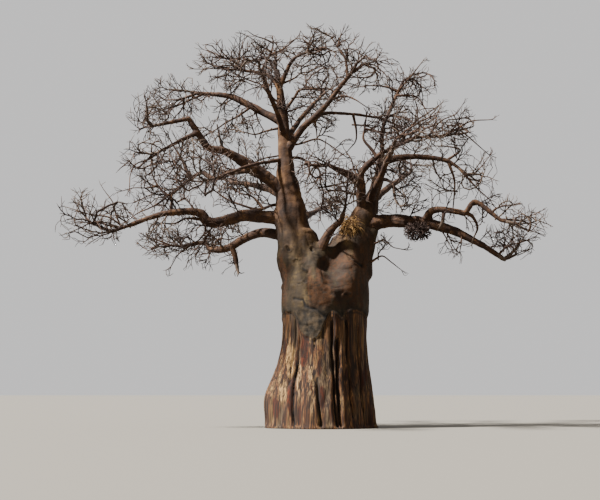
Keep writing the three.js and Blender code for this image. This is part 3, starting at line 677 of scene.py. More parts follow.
stubs = [stub(name) for name in LIMBS if LIMBS[name][0] in (*STEMS, "trunk")
         and name not in STEMS]
flanks = [tube(f"flank_{n}", np.array(rows)[:, :3], np.array(rows)[:, 3])
          for n, rows in enumerate(FLANKS)]
join(trunk, [tubes.pop(name) for name in STEMS] + stubs + flanks)
apply_modifier(trunk, "REMESH", mode="VOXEL", voxel_size=TRUNK_VOXEL)


def weigh(piece, group, weights):
    """A vertex group with a weight for every vertex, in steps of a twentieth."""
    made = piece.vertex_groups.new(name=group)
    steps = np.round(weights * 20).astype(int)
    for step in np.unique(steps[steps > 0]):
        made.add(np.flatnonzero(steps == step).tolist(), step / 20, "REPLACE")


def points_of(piece):
    flat = np.empty(len(piece.data.vertices) * 3)
    piece.data.vertices.foreach_get("co", flat)
    return flat.reshape(-1, 3)


height = points_of(trunk)[:, 2]
weigh(trunk, "crotch", smooth(*CROTCH_FROM, height) * smooth(*CROTCH_UP_TO, height))
apply_modifier(trunk, "SMOOTH", factor=SMOOTH_FACTOR, iterations=SKIN_ROUNDS)
apply_modifier(trunk, "SMOOTH", factor=SMOOTH_FACTOR, iterations=CROTCH_ROUNDS,
               vertex_group="crotch")
trunk.vertex_groups.clear()
print("trunk skin", len(trunk.data.polygons), "faces")

# %% Boughs
LEFT_BOUGHS = ["big_left", "low_left", "upper_left", "elbow", "elbow_low", "mid_left",
               "high_left", "top_left", "front_left", "back_left", "back_low", "front_mid"]
RIGHT_BOUGHS = [name for name in tubes if name not in LEFT_BOUGHS]


def bough_skin(name, members):
    piece = tubes[members[0]]
    join(piece, [tubes[member] for member in members[1:]])
    piece.name = name
    apply_modifier(piece, "REMESH", mode="VOXEL", voxel_size=BOUGH_VOXEL)
    apply_modifier(piece, "SMOOTH", factor=SMOOTH_FACTOR, iterations=BOUGH_ROUNDS)
    print(name, len(piece.data.polygons), "faces")
    return piece


left_boughs = bough_skin("bark_left_boughs", LEFT_BOUGHS)
right_boughs = bough_skin("bark_right_boughs", RIGHT_BOUGHS)

# %% [markdown]
# ## Relief of the bark
# Up to some seven metres the outer bark has been stripped, and what is left is fibrous: upright
# ribs parted by deep furrows. Above a ragged lip the old bark is whole and thick, with creases,
# upright folds, knobs and scars. By hand both would be sculpted; here each point is pushed along
# its normal by noise and by surveyed grooves, so the relief comes out the same every time. How
# deep a point lies is kept as an attribute, and the colours paint shade with it: darker in the
# grooves, creases, dents, the crack and the valley, with a painted shadow under the lip.

# %% Relief


def normals_of(piece):
    flat = np.empty(len(piece.data.vertices) * 3)
    piece.data.vertices.foreach_get("normal", flat)
    return flat.reshape(-1, 3)


def furrows(points, size, seed, sharp, stretch):
    """1 in the bed of a trough, falling to 0 on the ribs."""
    return np.exp(-(noise(points, size, seed, stretch) / sharp) ** 2)


def store(piece, name, values):
    piece.data.attributes.new(name, "FLOAT", "POINT").data.foreach_set("value", values)


# Deep grooves of the stripped wood: bearing at the top and at the bottom, -90 being the
# camera's side, the heights they run between, half width and depth.
GROOVES = (
    (-82, -74, 0, 6.5, 0.10, 0.32), (-74, -70, 0, 5.4, 0.12, 0.36), (-59, -54, 0.6, 6.5, 0.11, 0.3),
    (-40, -36, 0, 6.2, 0.09, 0.24), (-136, -128, 2.5, 6.6, 0.06, 0.16),
    (-126, -120, 0, 5.6, 0.07, 0.18), (-104, -100, 4.6, 6.8, 0.06, 0.14),
    (-96, -90, 0, 3.2, 0.08, 0.16), (-15, -12, 0, 5.8, 0.10, 0.26), (8, 5, 0, 6.0, 0.10, 0.26),
    (38, 34, 0, 5.2, 0.11, 0.3), (66, 70, 0.4, 6.3, 0.09, 0.26), (97, 101, 0, 4.9, 0.12, 0.32),
    (128, 124, 0, 6.1, 0.10, 0.28), (155, 160, 0, 5.6, 0.11, 0.3),
    (-160, -157, 0.3, 6.2, 0.09, 0.22),
)
# Where the old bark hangs lowest: bearing, how far down and how wide, in degrees.
TONGUES = ((-104, 1.5, 14), (-122, 0.9, 10), (-68, 0.5, 9), (25, 0.9, 14), (110, 1.3, 16),
           (175, 0.7, 12))
# Scars and knots of the whole bark: X, height, half width, half height and depth.
SCARS = ((-1.97, 10.7, 0.16, 0.11, 0.09), (-1.4, 9.95, 0.26, 0.06, 0.05),
         (-1.3, 8.35, 0.3, 0.06, 0.05), (-0.92, 9.3, 0.16, 0.2, -0.06),
         (-0.6, 10.6, 0.12, 0.2, 0.05), (-0.95, 8.5, 0.12, 0.08, 0.06),
         (1.6, 7.9, 0.2, 0.1, 0.06), (2.3, 9.7, 0.3, 0.1, 0.06))
# A crack across the whole bark, from left to right, as X and height.
CRACK = ((-1.6, 7.55), (-1.03, 7.5), (-0.94, 7.08), (-0.33, 6.94), (-0.09, 6.76), (0.38, 6.33))
# Patches of colour on the camera's side: X, height, half width and half height.
PATCHES = {
    "rust": ((-2.05, 4.56, 0.1, 0.6), (-1.79, 2.05, 0.2, 1.0), (-0.96, 4.5, 0.18, 1.0),
             (-0.1, 3.54, 0.16, 0.65), (0.02, 1.93, 0.16, 0.65), (2.59, 3.04, 0.16, 0.6),
             (1.48, 3.0, 0.14, 0.4), (-2.6, 1.2, 0.16, 0.5)),
    "bare": ((-1.85, 4.0, 0.22, 1.05), (-0.15, 5.9, 0.25, 0.5), (-2.2, 2.3, 0.2, 0.7)),
    "grey": ((-0.5, 2.3, 0.22, 1.7), (-1.27, 2.5, 0.13, 1.6), (-0.3, 5.5, 0.4, 0.8)),
    "warm": ((0.1, 8.1, 0.75, 1.6), (-2.25, 9.0, 0.25, 1.1)),
    # The dark patches are painted shadow: the shade of the left stem across the right half of the
    # trunk below the fork.
    "dark": ((1.8, 8.6, 1.0, 2.1), (1.2, 10.0, 0.9, 1.1), (2.6, 9.6, 0.7, 2.0)),
}
# Where a root swells the foot: bearing, height, how wide in degrees, how tall, how far out.
BUTTRESSES = ((-170, 1.7, 24, 1.2, 0.27),)
# The valley between the two halves of the trunk, from the fork down, as X and height. It is
# pressed in, and shade is painted into it.
VALLEY = ((0.3, 9.7), (0.9, 8.6), (1.5, 7.2))
VALLEY_HALF_WIDTH = 0.55
VALLEY_STRAY = 0.15
CRACK_HALF_WIDTH = 0.07
CRACK_STRAY = 0.06
# The mean height of the ragged lip, and half the height over which the bark sets in.
LIP = 6.85
LIP_EDGE = 0.07
# Depths and heights of the relief, in metres.
RIB_DEPTH = 0.06
FIBRE_DEPTH = 0.025
BARK_THICKNESS = 0.03
CRACK_DEPTH = 0.05
CREASE_DEPTH = 0.03
FOLD_DEPTH = 0.02
KNOB_HEIGHT = 0.06
LUMP_HEIGHT = 0.05
VALLEY_DEPTH = 0.3
FLAKE_HEIGHT = 0.03
BOUGH_RELIEF = 0.012
# Heights between which the relief and the young bark of the stems set in.
RELIEF_ENDS = (14.5, 11.5)
YOUNG_BARK = (9.8, 13.5)


def bearing(points):
    x = points[:, 0] - trunk_lean(points[:, 2])
    return np.degrees(np.arctan2(points[:, 1], x))


def apart(angle, other):
    """The difference between two bearings, from 0 to 180 degrees."""
    return np.abs((angle - other + 180) % 360 - 180)


def groove_bed(points):
    """How deep the surveyed grooves are at each point, and how much shade is painted in them, from
    0 to 1.
    """
    height, angle = points[:, 2], bearing(points)
    around = np.hypot(points[:, 0] - trunk_lean(height), points[:, 1])
    depth, dark = np.zeros(len(points)), np.zeros(len(points))
    for n, (top, bottom, low, high, width, deep) in enumerate(GROOVES):
        share = np.clip(height / high, 0, 1)
        sway = 1.2 * noise(points * (0, 0, 1), 0.9, 81 + n)
        off = np.radians(apart(angle, bottom + (top - bottom) * share + sway)) * around
        wide = width * (1 + 0.35 * noise(points * (0, 0, 1), 0.6, 101 + n))
        bed = np.exp(-(off / wide) ** 2) * smooth(low - 0.3, low + 0.5, height)
        bed *= smooth(high + 0.1, high - 0.7, height)
        depth = np.maximum(depth, bed * deep)
        dark = np.maximum(dark, np.exp(-(off / (0.8 * wide)) ** 2) * (bed > 0.3))
    return depth, dark


def lip_height(points):
    """Height of the ragged edge between whole and stripped bark."""
    ragged = 0.22 * noise(points * (1, 1, 0), 0.8, 61) + 0.12 * noise(points * (1, 1, 0), 0.3, 62)
    angle = bearing(points)
    tongues = sum(deep * np.exp(-(apart(angle, at) / wide) ** 2) for at, deep, wide in TONGUES)
    return LIP + ragged - tongues


def scar_relief(points):
    """Dents with a raised rim on the camera's side, and the shade painted in them."""
    push, dark = np.zeros(len(points)), np.zeros(len(points))
    front = points[:, 1] < -0.5
    stray = 0.2 * np.stack([noise(points, 0.5, 93), noise(points, 0.35, 94)], 1)
    for x, height, wide, tall, deep in SCARS:
        off = points[:, [0, 2]] + stray - (x, height)
        far = np.hypot(off[:, 0] / wide, off[:, 1] / tall)
        push += front * deep * (0.9 * np.exp(-((far - 1.25) / 0.4) ** 2) - np.exp(-far ** 2))
        dark = np.maximum(dark, front * np.exp(-(far / 0.75) ** 2))
    return push, dark


def patch_cover(points, kind):
    """1 inside the surveyed patches of one kind, with ragged edges."""
    ragged = 0.45 * noise(points, 0.3, 95, (1, 1, 6)) + 0.25 * noise(points, 0.12, 96, (1, 1, 7))
    cover = np.zeros(len(points))
    for x, height, wide, tall in PATCHES[kind]:
        far = np.hypot((points[:, 0] - x) / wide, (points[:, 2] - height) / tall)
        cover = np.maximum(cover, smooth(1.2, 0.85, far + ragged))
    return cover * (points[:, 1] < 0)


def beside(points, line, stray):
    """How far each point is from a line drawn on the camera's side, across the view."""
    spots = points[:, [0, 2]] + stray * np.stack(
        [noise(points, 0.4, 91), noise(points, 0.4, 92)], 1)
    gap = np.full(len(points), 9.0)
    for start, end in zip(np.array(line), np.array(line)[1:]):
        way = end - start
        share = np.clip((spots - start) @ way / (way @ way), 0, 1)
        gap = np.minimum(gap, np.linalg.norm(spots - start - share[:, None] * way, axis=1))
    return gap


def pressed_line(points, line, half_width, stray):
    """1 on a line on the camera's side, falling to 0 beside it."""
    return np.exp(-(beside(points, line, stray) / half_width) ** 2) * (points[:, 1] < -0.5)


def bark_relief(piece):
    place = {}

    def move(points):
        normals = normals_of(piece)
        z = points[:, 2]
        upright = np.abs(normals[:, 2]) < 0.8
        lip = lip_height(points)
        whole = smooth(-LIP_EDGE, LIP_EDGE, z - lip)
        flaky = whole * smooth(LIP + 0.5, LIP - 0.1, z)
        on_trunk = smooth(*RELIEF_ENDS, z) * upright
        warp = points + 0.07 * np.stack(
            [noise(points, 0.8, 71), noise(points, 0.8, 72), np.zeros(len(points))], 1)
        deep, dark = groove_bed(points)
        ribs = furrows(warp, 0.42, 23, 0.30, (1, 1, 12))
        fine = noise(warp, 0.17, 24, (1, 1, 9))
        creases = furrows(points, 0.34, 31, 0.16, (2.6, 2.6, 1)) * smooth(
            0.25, 0.7, noise(points, 1.3, 32))
        folds = furrows(points, 0.3, 39, 0.2, (1, 1, 7))
        knobs = smooth(0.45, 0.85, noise(points, 0.8, 33, (1, 1, 0.7)))
        lumps = noise(points, 1.7, 34) + 0.45 * noise(points, 0.5, 38, (1, 1, 1.5))
        scar, painted_scar_shade = scar_relief(points)
        crack = pressed_line(points, CRACK, CRACK_HALF_WIDTH, CRACK_STRAY)
        valley = pressed_line(points, VALLEY, VALLEY_HALF_WIDTH, VALLEY_STRAY)
        stripped = -deep - RIB_DEPTH * ribs + FIBRE_DEPTH * fine
        old = (BARK_THICKNESS + scar - CRACK_DEPTH * crack - CREASE_DEPTH * creases
               - FOLD_DEPTH * folds + KNOB_HEIGHT * knobs + LUMP_HEIGHT * lumps
               - VALLEY_DEPTH * valley + FLAKE_HEIGHT * flaky * noise(points, 0.25, 35))
        foot = smooth(0.0, 0.25, z)
        # Painted shadow: a dark band just under the overhanging lip.
        painted_lip_shadow = np.exp(-((z - lip + 0.12) / 0.10) ** 2)
        push = (1 - whole) * stripped + whole * old * (0.35 + 0.65 * on_trunk)
        for at, height, wide, tall, out in BUTTRESSES:
            push += out * np.exp(-(apart(bearing(points), at) / wide) ** 2
                                 - ((z - height) / tall) ** 2)
        push *= foot
        # Painted shade: this attribute darkens the grooves, the furrows between the ribs, creases,
        # folds, scar dents, the crack and the valley, and paints a shadow just under the lip.
        place["furrow_shade"] = np.clip(
            (1 - whole) * np.maximum.reduce([dark, 0.5 * ribs, 0.75 * painted_lip_shadow])
            + whole * np.maximum.reduce([0.5 * creases, 0.3 * folds, painted_scar_shade, crack,
                                         0.55 * valley]), 0, 1)
        place["whole"] = whole
        place["flaky"] = flaky
        place["young"] = smooth(*YOUNG_BARK, z + 1.5 * noise(points, 1.5, 36))
        for kind in PATCHES:
            place[kind] = patch_cover(points, kind)
        return points + normals * (push * np.where(upright, 1, 0.3))[:, None]

    move_points(piece, move)
    for name, values in place.items():
        store(piece, name, values)


def bough_relief(piece):
    points = points_of(piece)
    creases = furrows(points, 0.22, 41, 0.25, (1, 1, 1))
    push = BOUGH_RELIEF * noise(points, 0.35, 42) - BOUGH_RELIEF * creases
    normals = normals_of(piece)
    move_points(piece, lambda spots: spots + normals * push[:, None])
    # Painted shade: the creases are stored so that the bark is darkened in them.
    store(piece, "furrow_shade", 0.6 * creases)


bark_relief(trunk)
for piece in (left_boughs, right_boughs):
    bough_relief(piece)
for piece in (trunk, left_boughs, right_boughs):
    clear_selection()
    piece.select_set(True)
    bpy.context.view_layer.objects.active = piece
    bpy.ops.object.shade_smooth()
print("relief done")

# %% [markdown]
# ## Spaces for the twigs
# Each bough ends in a mass of twigs that keeps to a space of its own, an ellipsoid placed from
# the bough's tip. Where two spaces overlap, a point belongs to the one whose middle is nearer.
# Each row: the bough, the way from its tip to the middle, the half widths and how many marks
# the first twigs grow towards; a last number makes a mass closer than the rest.

# %% Masses
MASSES = {
    "twigs_big_left": ["big_left", [-1.5, -0.4, 0.5], [2.7, 2.2, 1.7], 84],
    "twigs_low_left": ["low_left", [-1.5, 0.5, 0.1], [2, 2, 1.1], 58],
    "twigs_elbow": ["elbow", [-0.4, -0.3, 0.4], [1.5, 2.1, 1.8], 46],
    "twigs_elbow_low": ["elbow_low", [-0.5, -0.5, -0.5], [1.8, 2.1, 1.6], 58],
    "twigs_mid_left": ["mid_left", [-1.4, 0.5, -0.3], [2.5, 2.3, 1.8], 64],
    "twigs_high_left": ["high_left", [-1.6, 0.4, -0.2], [2.2, 2.3, 1.5], 52],
    "twigs_top_left": ["top_left", [-0.8, 0.4, 0.2], [2, 2.1, 1.4], 64],
    "twigs_leader": ["left_stem", [-0.5, 0, 1.3], [1.6, 1.9, 1.5], 46],
    "twigs_top_right": ["top_right", [0.3, -0.2, -0.1], [2, 1.8, 1.4], 64],
    "twigs_right_arm": ["right_arm", [0.8, -0.4, 0.45], [2.3, 2.2, 1.6], 64],
    "twigs_cross": ["cross", [1.5, 0.6, 0.2], [1.8, 1.8, 1.3], 54],
    "twigs_right_leader": ["right_leader", [0.8, 0.5, 0], [1.9, 2, 1.5], 50],
    "twigs_right_upper": ["right_upper", [0.5, 0.4, 0.4], [1.8, 2.2, 1.6], 74],
    "twigs_inner_right": ["inner_right", [1.2, -0.6, 0.9], [1.8, 2.1, 1.6], 46],
    "twigs_right_mid": ["right_mid", [0.6, -0.2, -0.3], [1.8, 2.1, 1.8], 54],
    "twigs_right_arch": ["right_arch", [0.9, -0.4, 0], [1.6, 1.9, 1.1], 54],
    "twigs_right_low": ["right_low", [0.9, 0.2, 0.9], [1.5, 1.6, 1.1], 68],
    "twigs_inner_left": ["inner_left", [-0.8, -0.6, -0.1], [1.9, 1.9, 1.6], 50],
    "twigs_notch": ["notch", [-0.1, -1, 1.1], [1.5, 1.8, 1.6], 54],
    "twigs_hanging": ["hanging", [0.6, -0.6, -0.5], [1.5, 1.7, 1.2], 46],
    "twigs_tangle": ["low_spur", [0.25, -0.3, -0.3], [0.85, 0.85, 0.62], 60, 0.4],
    "twigs_front_left": ["front_left", [-0.6, -2.2, 0.1], [2.4, 3.1, 1.7], 50],
    "twigs_front_mid": ["front_mid", [-0.2, -2.3, -0.3], [2.4, 2.9, 1.7], 44],
    "twigs_front_right": ["front_right", [1, -2.6, 0.3], [2.1, 3.1, 1.8], 50],
    "twigs_back_left": ["back_left", [-0.2, 2.3, 0.2], [2.4, 3.1, 2], 52],
    "twigs_back_right": ["back_right", [0.3, 2.2, 1.1], [2.4, 2.9, 1.8], 50],
    "twigs_back_high": ["back_high", [0, 2.2, 0.9], [2.3, 2.8, 1.8], 50],
    "twigs_back_low": ["back_low", [0.2, 2.5, 0.5], [2.7, 2.9, 1.9], 52],
}

CLEARANCE = 0.0003
SOURCE_LIMB_STEP = 0.9


def solid_line(name):
    """The points and radii of a limb as the solids have them."""
    steps = max(2 * len(LIMBS[name][3]), round(limb_length(limbs[name]) / SOURCE_LIMB_STEP))
    return sample_limb(limbs[name], steps)


def lay_out(carrier, way, half, count, fine=1):
    points, radii = solid_line(carrier)
    along = points[-1] - points[-2]
    return {"tip": points[-1], "along": along / np.linalg.norm(along),
            "middle": points[-1] + way, "half": np.array(half), "count": count,
            "fine": fine, "girth": radii[-1]}


spaces = {name: lay_out(*row) for name, row in MASSES.items()}
print(len(spaces), "spaces")

# %% [markdown]
# ## How twigs grow
# Marks are scattered through the space. Each round, every mark pulls the nearest joint that has
# room for a fork and looks its way, so that no twig curls back, and that joint grows one step
# the way it is pulled, until the mark is reached. It could also be done with L-system rules,
# but then the crown's outline would be a matter of luck, while marks fill a wanted shape. The
# first pass repeats the solids' twigs from the same seeds; later passes use the same rule with
# a smaller step.

# %% Growth rule
STEM_LENGTH = 0.38
TWIG_STEP = 0.8
TWIG_WANDER = 0.2
TWIG_LIFT = 0.1
TWIG_SIGHT = 0.35
CROWDING = 0.4
REACHED = 0.64
MOST_FORKS = 3
MOST_ROUNDS = 24
SPACE_MARGIN = 0.05
SPACE_SKIN = 1.06
INNER_MARKS = 0.45
SOURCE_TIP_RADIUS = 0.025
WORD = 0xFFFFFFFF
REACH_MARGIN = 0.2
LOWEST = np.array(cad_box[0]) - REACH_MARGIN
HIGHEST = np.array(cad_box[1]) + REACH_MARGIN


def seeded(seed):
    """The same numbers for the same seed as the solids were made with, from 0 up to 1."""
    state = seed

    def draw():
        nonlocal state
        state = (state + 0x6D2B79F5) & WORD
        mixed = ((state ^ (state >> 15)) * (state | 1)) & WORD
        mixed ^= (mixed + (mixed ^ (mixed >> 7)) * (mixed | 61)) & WORD
        return (mixed ^ (mixed >> 14)) / 2 ** 32

    return draw


def owns(space, others, spot):
    """True when the spot is in this space and nearer to its middle than to any other's."""
    own = np.linalg.norm((spot - space["middle"]) / space["half"])
    middles, halves = others
    rest = np.linalg.norm((spot - middles) / halves, axis=1)
    return own < SPACE_SKIN and (rest > own + SPACE_MARGIN).all()


def scatter_marks(space, others, count, inner, draw):
    marks = []
    for _ in range(count * 20):
        if len(marks) == count:
            break
        spot = np.array([2 * draw() - 1, 2 * draw() - 1, 2 * draw() - 1])
        spot *= (inner + (1 - inner) * draw()) / np.linalg.norm(spot)
        mark = spot * space["half"] + space["middle"]
        if owns(space, others, mark):
            marks.append(mark)
    return np.array(marks).reshape(-1, 3)


def touches(start, end, wood, reach):
    """True when the segment comes nearer than reach to any of the wood."""
    foot, way, radius = wood
    first = end - start
    apart = start - foot
    ff, ss, fs = first @ first, (way * way).sum(1), way @ first
    fa, sa = apart @ first, (way * apart).sum(1)
    across = ff * ss - fs * fs
    s = np.clip(np.where(across > 1e-15, (fs * sa - fa * ss) / np.maximum(across, 1e-15), 0),
                0, 1)
    t = np.clip((fs * s + sa) / ss, 0, 1)
    s = np.clip((fs * t - fa) / ff, 0, 1)
    gap = np.linalg.norm(apart + s[:, None] * first - t[:, None] * way, axis=1)
    return (gap < radius + reach).any()


def distances(a, b):
    square = (a * a).sum(1)[:, None] + (b * b).sum(1) - 2 * a @ b.T
    return np.sqrt(np.maximum(square, 0))


def unit(rows):
    return rows / np.maximum(np.linalg.norm(rows, axis=1), 1e-12)[:, None]


def grow(joints, parents, marks, scale, space, others, wood, draw, forks,
         wander=TWIG_WANDER, sight=TWIG_SIGHT):
    """Grows twigs from the joints that have fewer than the most forks, towards the marks."""
    count = len(joints)
    at = np.zeros((count + MOST_ROUNDS * len(marks), 3))
    at[:count] = joints
    onward = np.zeros_like(at)
    onward[:count] = unit(joints - joints[np.maximum(parents, 0)])
    forks = np.concatenate([forks, np.zeros(len(at) - count, int)])
    parents = list(parents)
    for _ in range(MOST_ROUNDS):
        free = np.flatnonzero(forks[:count] < MOST_FORKS)
        if not len(marks) or not len(free):
            break
        far = distances(marks, at[free])
        ahead = marks @ onward[free].T - (at[free] * onward[free]).sum(1)
        far[ahead < sight * far] = np.inf
        seen = np.isfinite(far.min(1))
        nearest = free[far.argmin(1)][seen]
        pulls = np.zeros((count, 3))
        np.add.at(pulls, nearest, unit(marks[seen] - at[nearest]))
        for k in dict.fromkeys(nearest.tolist()):
            stray = np.array([draw() - 0.5, draw() - 0.5, draw() - 0.5])
            pull = pulls[k] / np.linalg.norm(pulls[k]) + 2 * wander * stray
            pull[2] += TWIG_LIFT
            pull /= np.linalg.norm(pull)
            spot = at[k] + pull * TWIG_STEP * scale
            forks[k] += 1
            near = np.abs(at[:count] - spot).max(1) < CROWDING * scale
            if (np.linalg.norm(at[:count][near] - spot, axis=1) < CROWDING * scale).any():
                continue
            if not owns(space, others, spot) or touches(
                    at[k], spot, wood, 3 * SOURCE_TIP_RADIUS):
                continue
            at[count], onward[count] = spot, pull
            parents.append(k)
            count += 1
        marks = marks[distances(marks, at[:count]).min(1) > REACHED * scale]
    return at[:count], parents


print("first number", round(seeded(101)(), 6))

# %% The solids' own twigs


def segments(points, radii):
    return points[:-1], np.diff(points, axis=0), np.array(radii)


def stack(rows):
    return tuple(np.concatenate(column) for column in zip(*rows))


def other_spaces(name):
    rest = [space for other, space in spaces.items() if other != name]
    return (np.array([space["middle"] for space in rest]),
            np.array([space["half"] for space in rest]))


limb_wood = []
for name in LIMBS:
    points, radii = solid_line(name)
    limb_wood.append(segments(points, radii[:-1]))
wood = list(limb_wood)
first_twigs = {}
draws = {}
for n, (name, space) in enumerate(spaces.items()):
    draw = draws[name] = seeded(101 + 17 * n)
    others = other_spaces(name)
    marks = scatter_marks(space, others, space["count"], INNER_MARKS, draw)
    start = space["tip"] + space["along"] * CLEARANCE
    joints = np.array([start, start + space["along"] * STEM_LENGTH])
    joints, parents = grow(joints, [-1, 0], marks, space["fine"], space, others,
                           stack(wood), draw, [MOST_FORKS, 0])
    first_twigs[name] = (joints, parents)
    tail = joints[parents[1:]]
    wood.append((tail, joints[1:] - tail, np.full(len(tail), SOURCE_TIP_RADIUS)))
print("first joints", sum(len(joints) for joints, _ in first_twigs.values()))

gaps = []
for name, (joints, _) in first_twigs.items():
    low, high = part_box(name)
    gaps.append(max(np.abs(joints.min(0) - low).max(), np.abs(joints.max(0) - high).max()))
print("largest difference from the solids' boxes", round(max(gaps), 3), "m")

# %% [markdown]
# ## Finer twigs
# A first twig is eighty centimetres long and quite straight, as the solids need few faces. Real
# ones are crooked and carry many short spurs. So each first twig is split into a zigzag, and
# the growth rule runs on from its joints, three times, with a smaller step each time. The bough
# under a mass sends out side shoots in small spaces of their own by the same rule.

# %% Finer passes
ZIGZAG = 0.06
# The passes: the step's share of the first one, the marks' share of the first ones, and how
# far in the marks begin. The last one has its marks beside the twigs.
PASSES = ((0.5, 2, 0.3), (0.32, 4, 0.1), (0.26, 0, 0))
FINE_WANDER = 0.1
FINE_SIGHT = 0.5
SPUR_SHARE = 0.35
SPUR_REACH = (0.4, 0.8)
SPUR_LEAN = 1.2
# How many marks the finer passes have, where a mass is more or less close than the rest.
CLOSENESS = {"twigs_inner_right": 0.35, "twigs_front_right": 0.25, "twigs_front_mid": 0.5,
             "twigs_leader": 0.6, "twigs_top_left": 0.8, "twigs_back_left": 0.5,
             "twigs_back_right": 0.3, "twigs_cross": 0.8, "twigs_right_upper": 0.35,
             "twigs_right_mid": 0.4, "twigs_hanging": 0.4, "twigs_back_high": 0.8,
             "twigs_mid_left": 0.7, "twigs_elbow": 0.8, "twigs_back_low": 0.6,
             "twigs_inner_left": 0.7, "twigs_tangle": 3.5, "twigs_low_left": 1.4,
             "twigs_big_left": 0.8, "twigs_elbow_low": 0.7, "twigs_right_low": 0.5,
             "twigs_right_arch": 0.7, "twigs_notch": 0.7}
rng = np.random.default_rng(2024)


def crook(joints, parents, pieces):
    """Splits every twig into a zigzag of shorter ones."""
    made, made_parents, ends = [joints[0]], [-1], {0: 0}
    for k in range(1, len(joints)):
        start, way = joints[parents[k]], joints[k] - joints[parents[k]]
        before = ends[parents[k]]
        for step in range(1, pieces + 1):
            stray = rng.normal(size=3) * ZIGZAG * np.linalg.norm(way) / pieces ** 0.5
            made.append(start + way * step / pieces + (stray if step < pieces else 0))
            made_parents.append(before)
            before = len(made) - 1
        ends[k] = before
    return np.array(made), made_parents


def marks_beside(joints, parents, draw):
    """Marks a short way out from some of the joints, to one side of the twig."""
    along = unit(joints - joints[np.maximum(parents, 0)])
    chosen = np.array([k > 1 and draw() < SPUR_SHARE for k in range(len(joints))])
    side = np.array([draw() - 0.5 for _ in range(3 * chosen.sum())]).reshape(-1, 3)
    along = along[chosen]
    side = unit(side - along * (side * along).sum(1)[:, None])
    reach = SPUR_REACH[0] + (SPUR_REACH[1] - SPUR_REACH[0]) * np.array(
        [draw() for _ in range(chosen.sum())])
    return joints[chosen] + unit(side + SPUR_LEAN * along) * reach[:, None]


def refine(space, others, joints, parents, wood, draw, passes=PASSES, closeness=1):
    for scale, more, inner in passes:
        scale *= space["fine"]
        if more:
            count = int(more * closeness * space["count"])
            marks = scatter_marks(space, others, count, inner, draw)
        else:
            marks = marks_beside(joints, parents, draw)
        within = ((marks > LOWEST) & (marks < HIGHEST)).all(1)
        marks = marks[within & (distances(marks, joints).min(1) > REACHED * scale)]
        forks = np.bincount([max(parent, 0) for parent in parents], minlength=len(joints))
        forks = np.minimum(forks, MOST_FORKS)
        forks[0] = MOST_FORKS
        if len(marks):
            joints, parents = grow(joints, parents, marks, scale, space, others, wood, draw,
                                   forks, FINE_WANDER, FINE_SIGHT)
    return joints, parents


limb_stack = stack(limb_wood)
twigs = {}
for name, space in spaces.items():
    joints, parents = crook(*first_twigs[name], pieces=3)
    twigs[name] = refine(space, other_spaces(name), joints, parents, limb_stack, draws[name],
                         closeness=CLOSENESS.get(name, 1))
print("twig joints", sum(len(joints) for joints, _ in twigs.values()))

# %% Side shoots along the boughs
SHOOT_EVERY = 0.8
# Limbs with more shoots, or fewer, than the rest.
SHOOTS_EVERY = {"big_left": 0.45, "low_left": 0.5, "high_a": 0.4, "high_b": 0.4, "high_d": 0.5,
                "stem_f": 0.4, "stem_g": 0.45, "stem_h": 0.5, "stem_i": 0.5, "upper_left": 0.5,
                "mid_left": 0.6, "low_a": 0.5, "left_b": 0.6, "high_c": 0.5, "top_h": 0.5,
                "stem_a": 0.5, "stem_c": 0.6, "stem_j": 0.6, "stem_k": 0.5, "up_a": 1.3,
                "up_b": 1.4, "up_c": 1.3, "up_d": 1.5, "mid_e": 1.4, "cross": 1.4,
                "right_upper": 1.4, "mid_c": 1.4, "mid_f": 1.4, "elbow_low": 1.2, "left_f": 1.2,
                "back_right": 1.8, "back_left": 1.4, "back_low": 1.4}
SHOOT_FROM = 0.22
SHOOT_REACH = (0.5, 1.25)
SHOOT_PASSES = ((0.5, 4, 0.1), (0.32, 7, 0.1), (0.26, 0, 0))
SHOOT_MARKS = 3
OUTWARD = 0.5
SHOOT_LIFT = 0.25
SHOOT_STEM = 0.25
SHOOT_GIRTH = 0.03


def side_shoots(name):
    """Small spaces along a limb, each with a stem that leaves the limb sideways."""
    points, radii = limb_line(name)
    length = limb_length(limbs[name])
    made = []
    every = SHOOTS_EVERY.get(name, SHOOT_EVERY)
    count = max(int(length * (1 - SHOOT_FROM) / every), 2)
    for share in np.linspace(SHOOT_FROM, 1, count):
        k = min(int(share * (len(points) - 1)), len(points) - 2)
        along = points[k + 1] - points[k]
        along /= np.linalg.norm(along)
        way = rng.normal(size=3)
        way -= along * (way @ along)
        way = way / np.linalg.norm(way) + OUTWARD * along + (0, 0, SHOOT_LIFT)
        if share == 1:
            way = along
        way /= np.linalg.norm(way)
        reach = rng.uniform(*SHOOT_REACH)
        if share == 1 and name in THIN_LIMBS:
            reach = SHOOT_REACH[0]
        tip = points[k] + way * radii[k] * (0.8 if share < 1 else 0)
        made.append({"tip": tip, "along": way, "middle": tip + way * reach * 0.9,
                     "half": np.full(3, reach), "count": int(SHOOT_MARKS * (1 + reach)), "fine": 1,
                     "girth": min(0.5 * radii[k], SHOOT_GIRTH) if share < 1 else radii[k]})
    return made


shoots = {}
mass_spaces = (np.array([space["middle"] for space in spaces.values()]),
               np.array([space["half"] for space in spaces.values()]))
for name in limbs:
    if name in STEMS:
        continue
    shoots[name] = []
    draw = seeded(7001 + 13 * list(limbs).index(name))
    for space in side_shoots(name):
        joints = space["tip"] + space["along"] * np.array([[0.0], [SHOOT_STEM]])
        joints, parents = refine(space, mass_spaces, joints, [-1, 0], limb_stack, draw,
                                 SHOOT_PASSES)
        if len(joints) > 3:
            shoots[name].append((space, joints, parents))

# %% [markdown]
# ## From joints to twigs
# The pipe rule says that a twig is as thick as all that it carries. Here the exponent is chosen
# so that a mass starts as thick as the bough that it stands on and ends in tips of one
# thickness. Each line of twigs then becomes a closed tube, with few sides where it is thin, and
# all of a mass are written into one mesh from arrays, which is far quicker than thousands of
# curve objects.

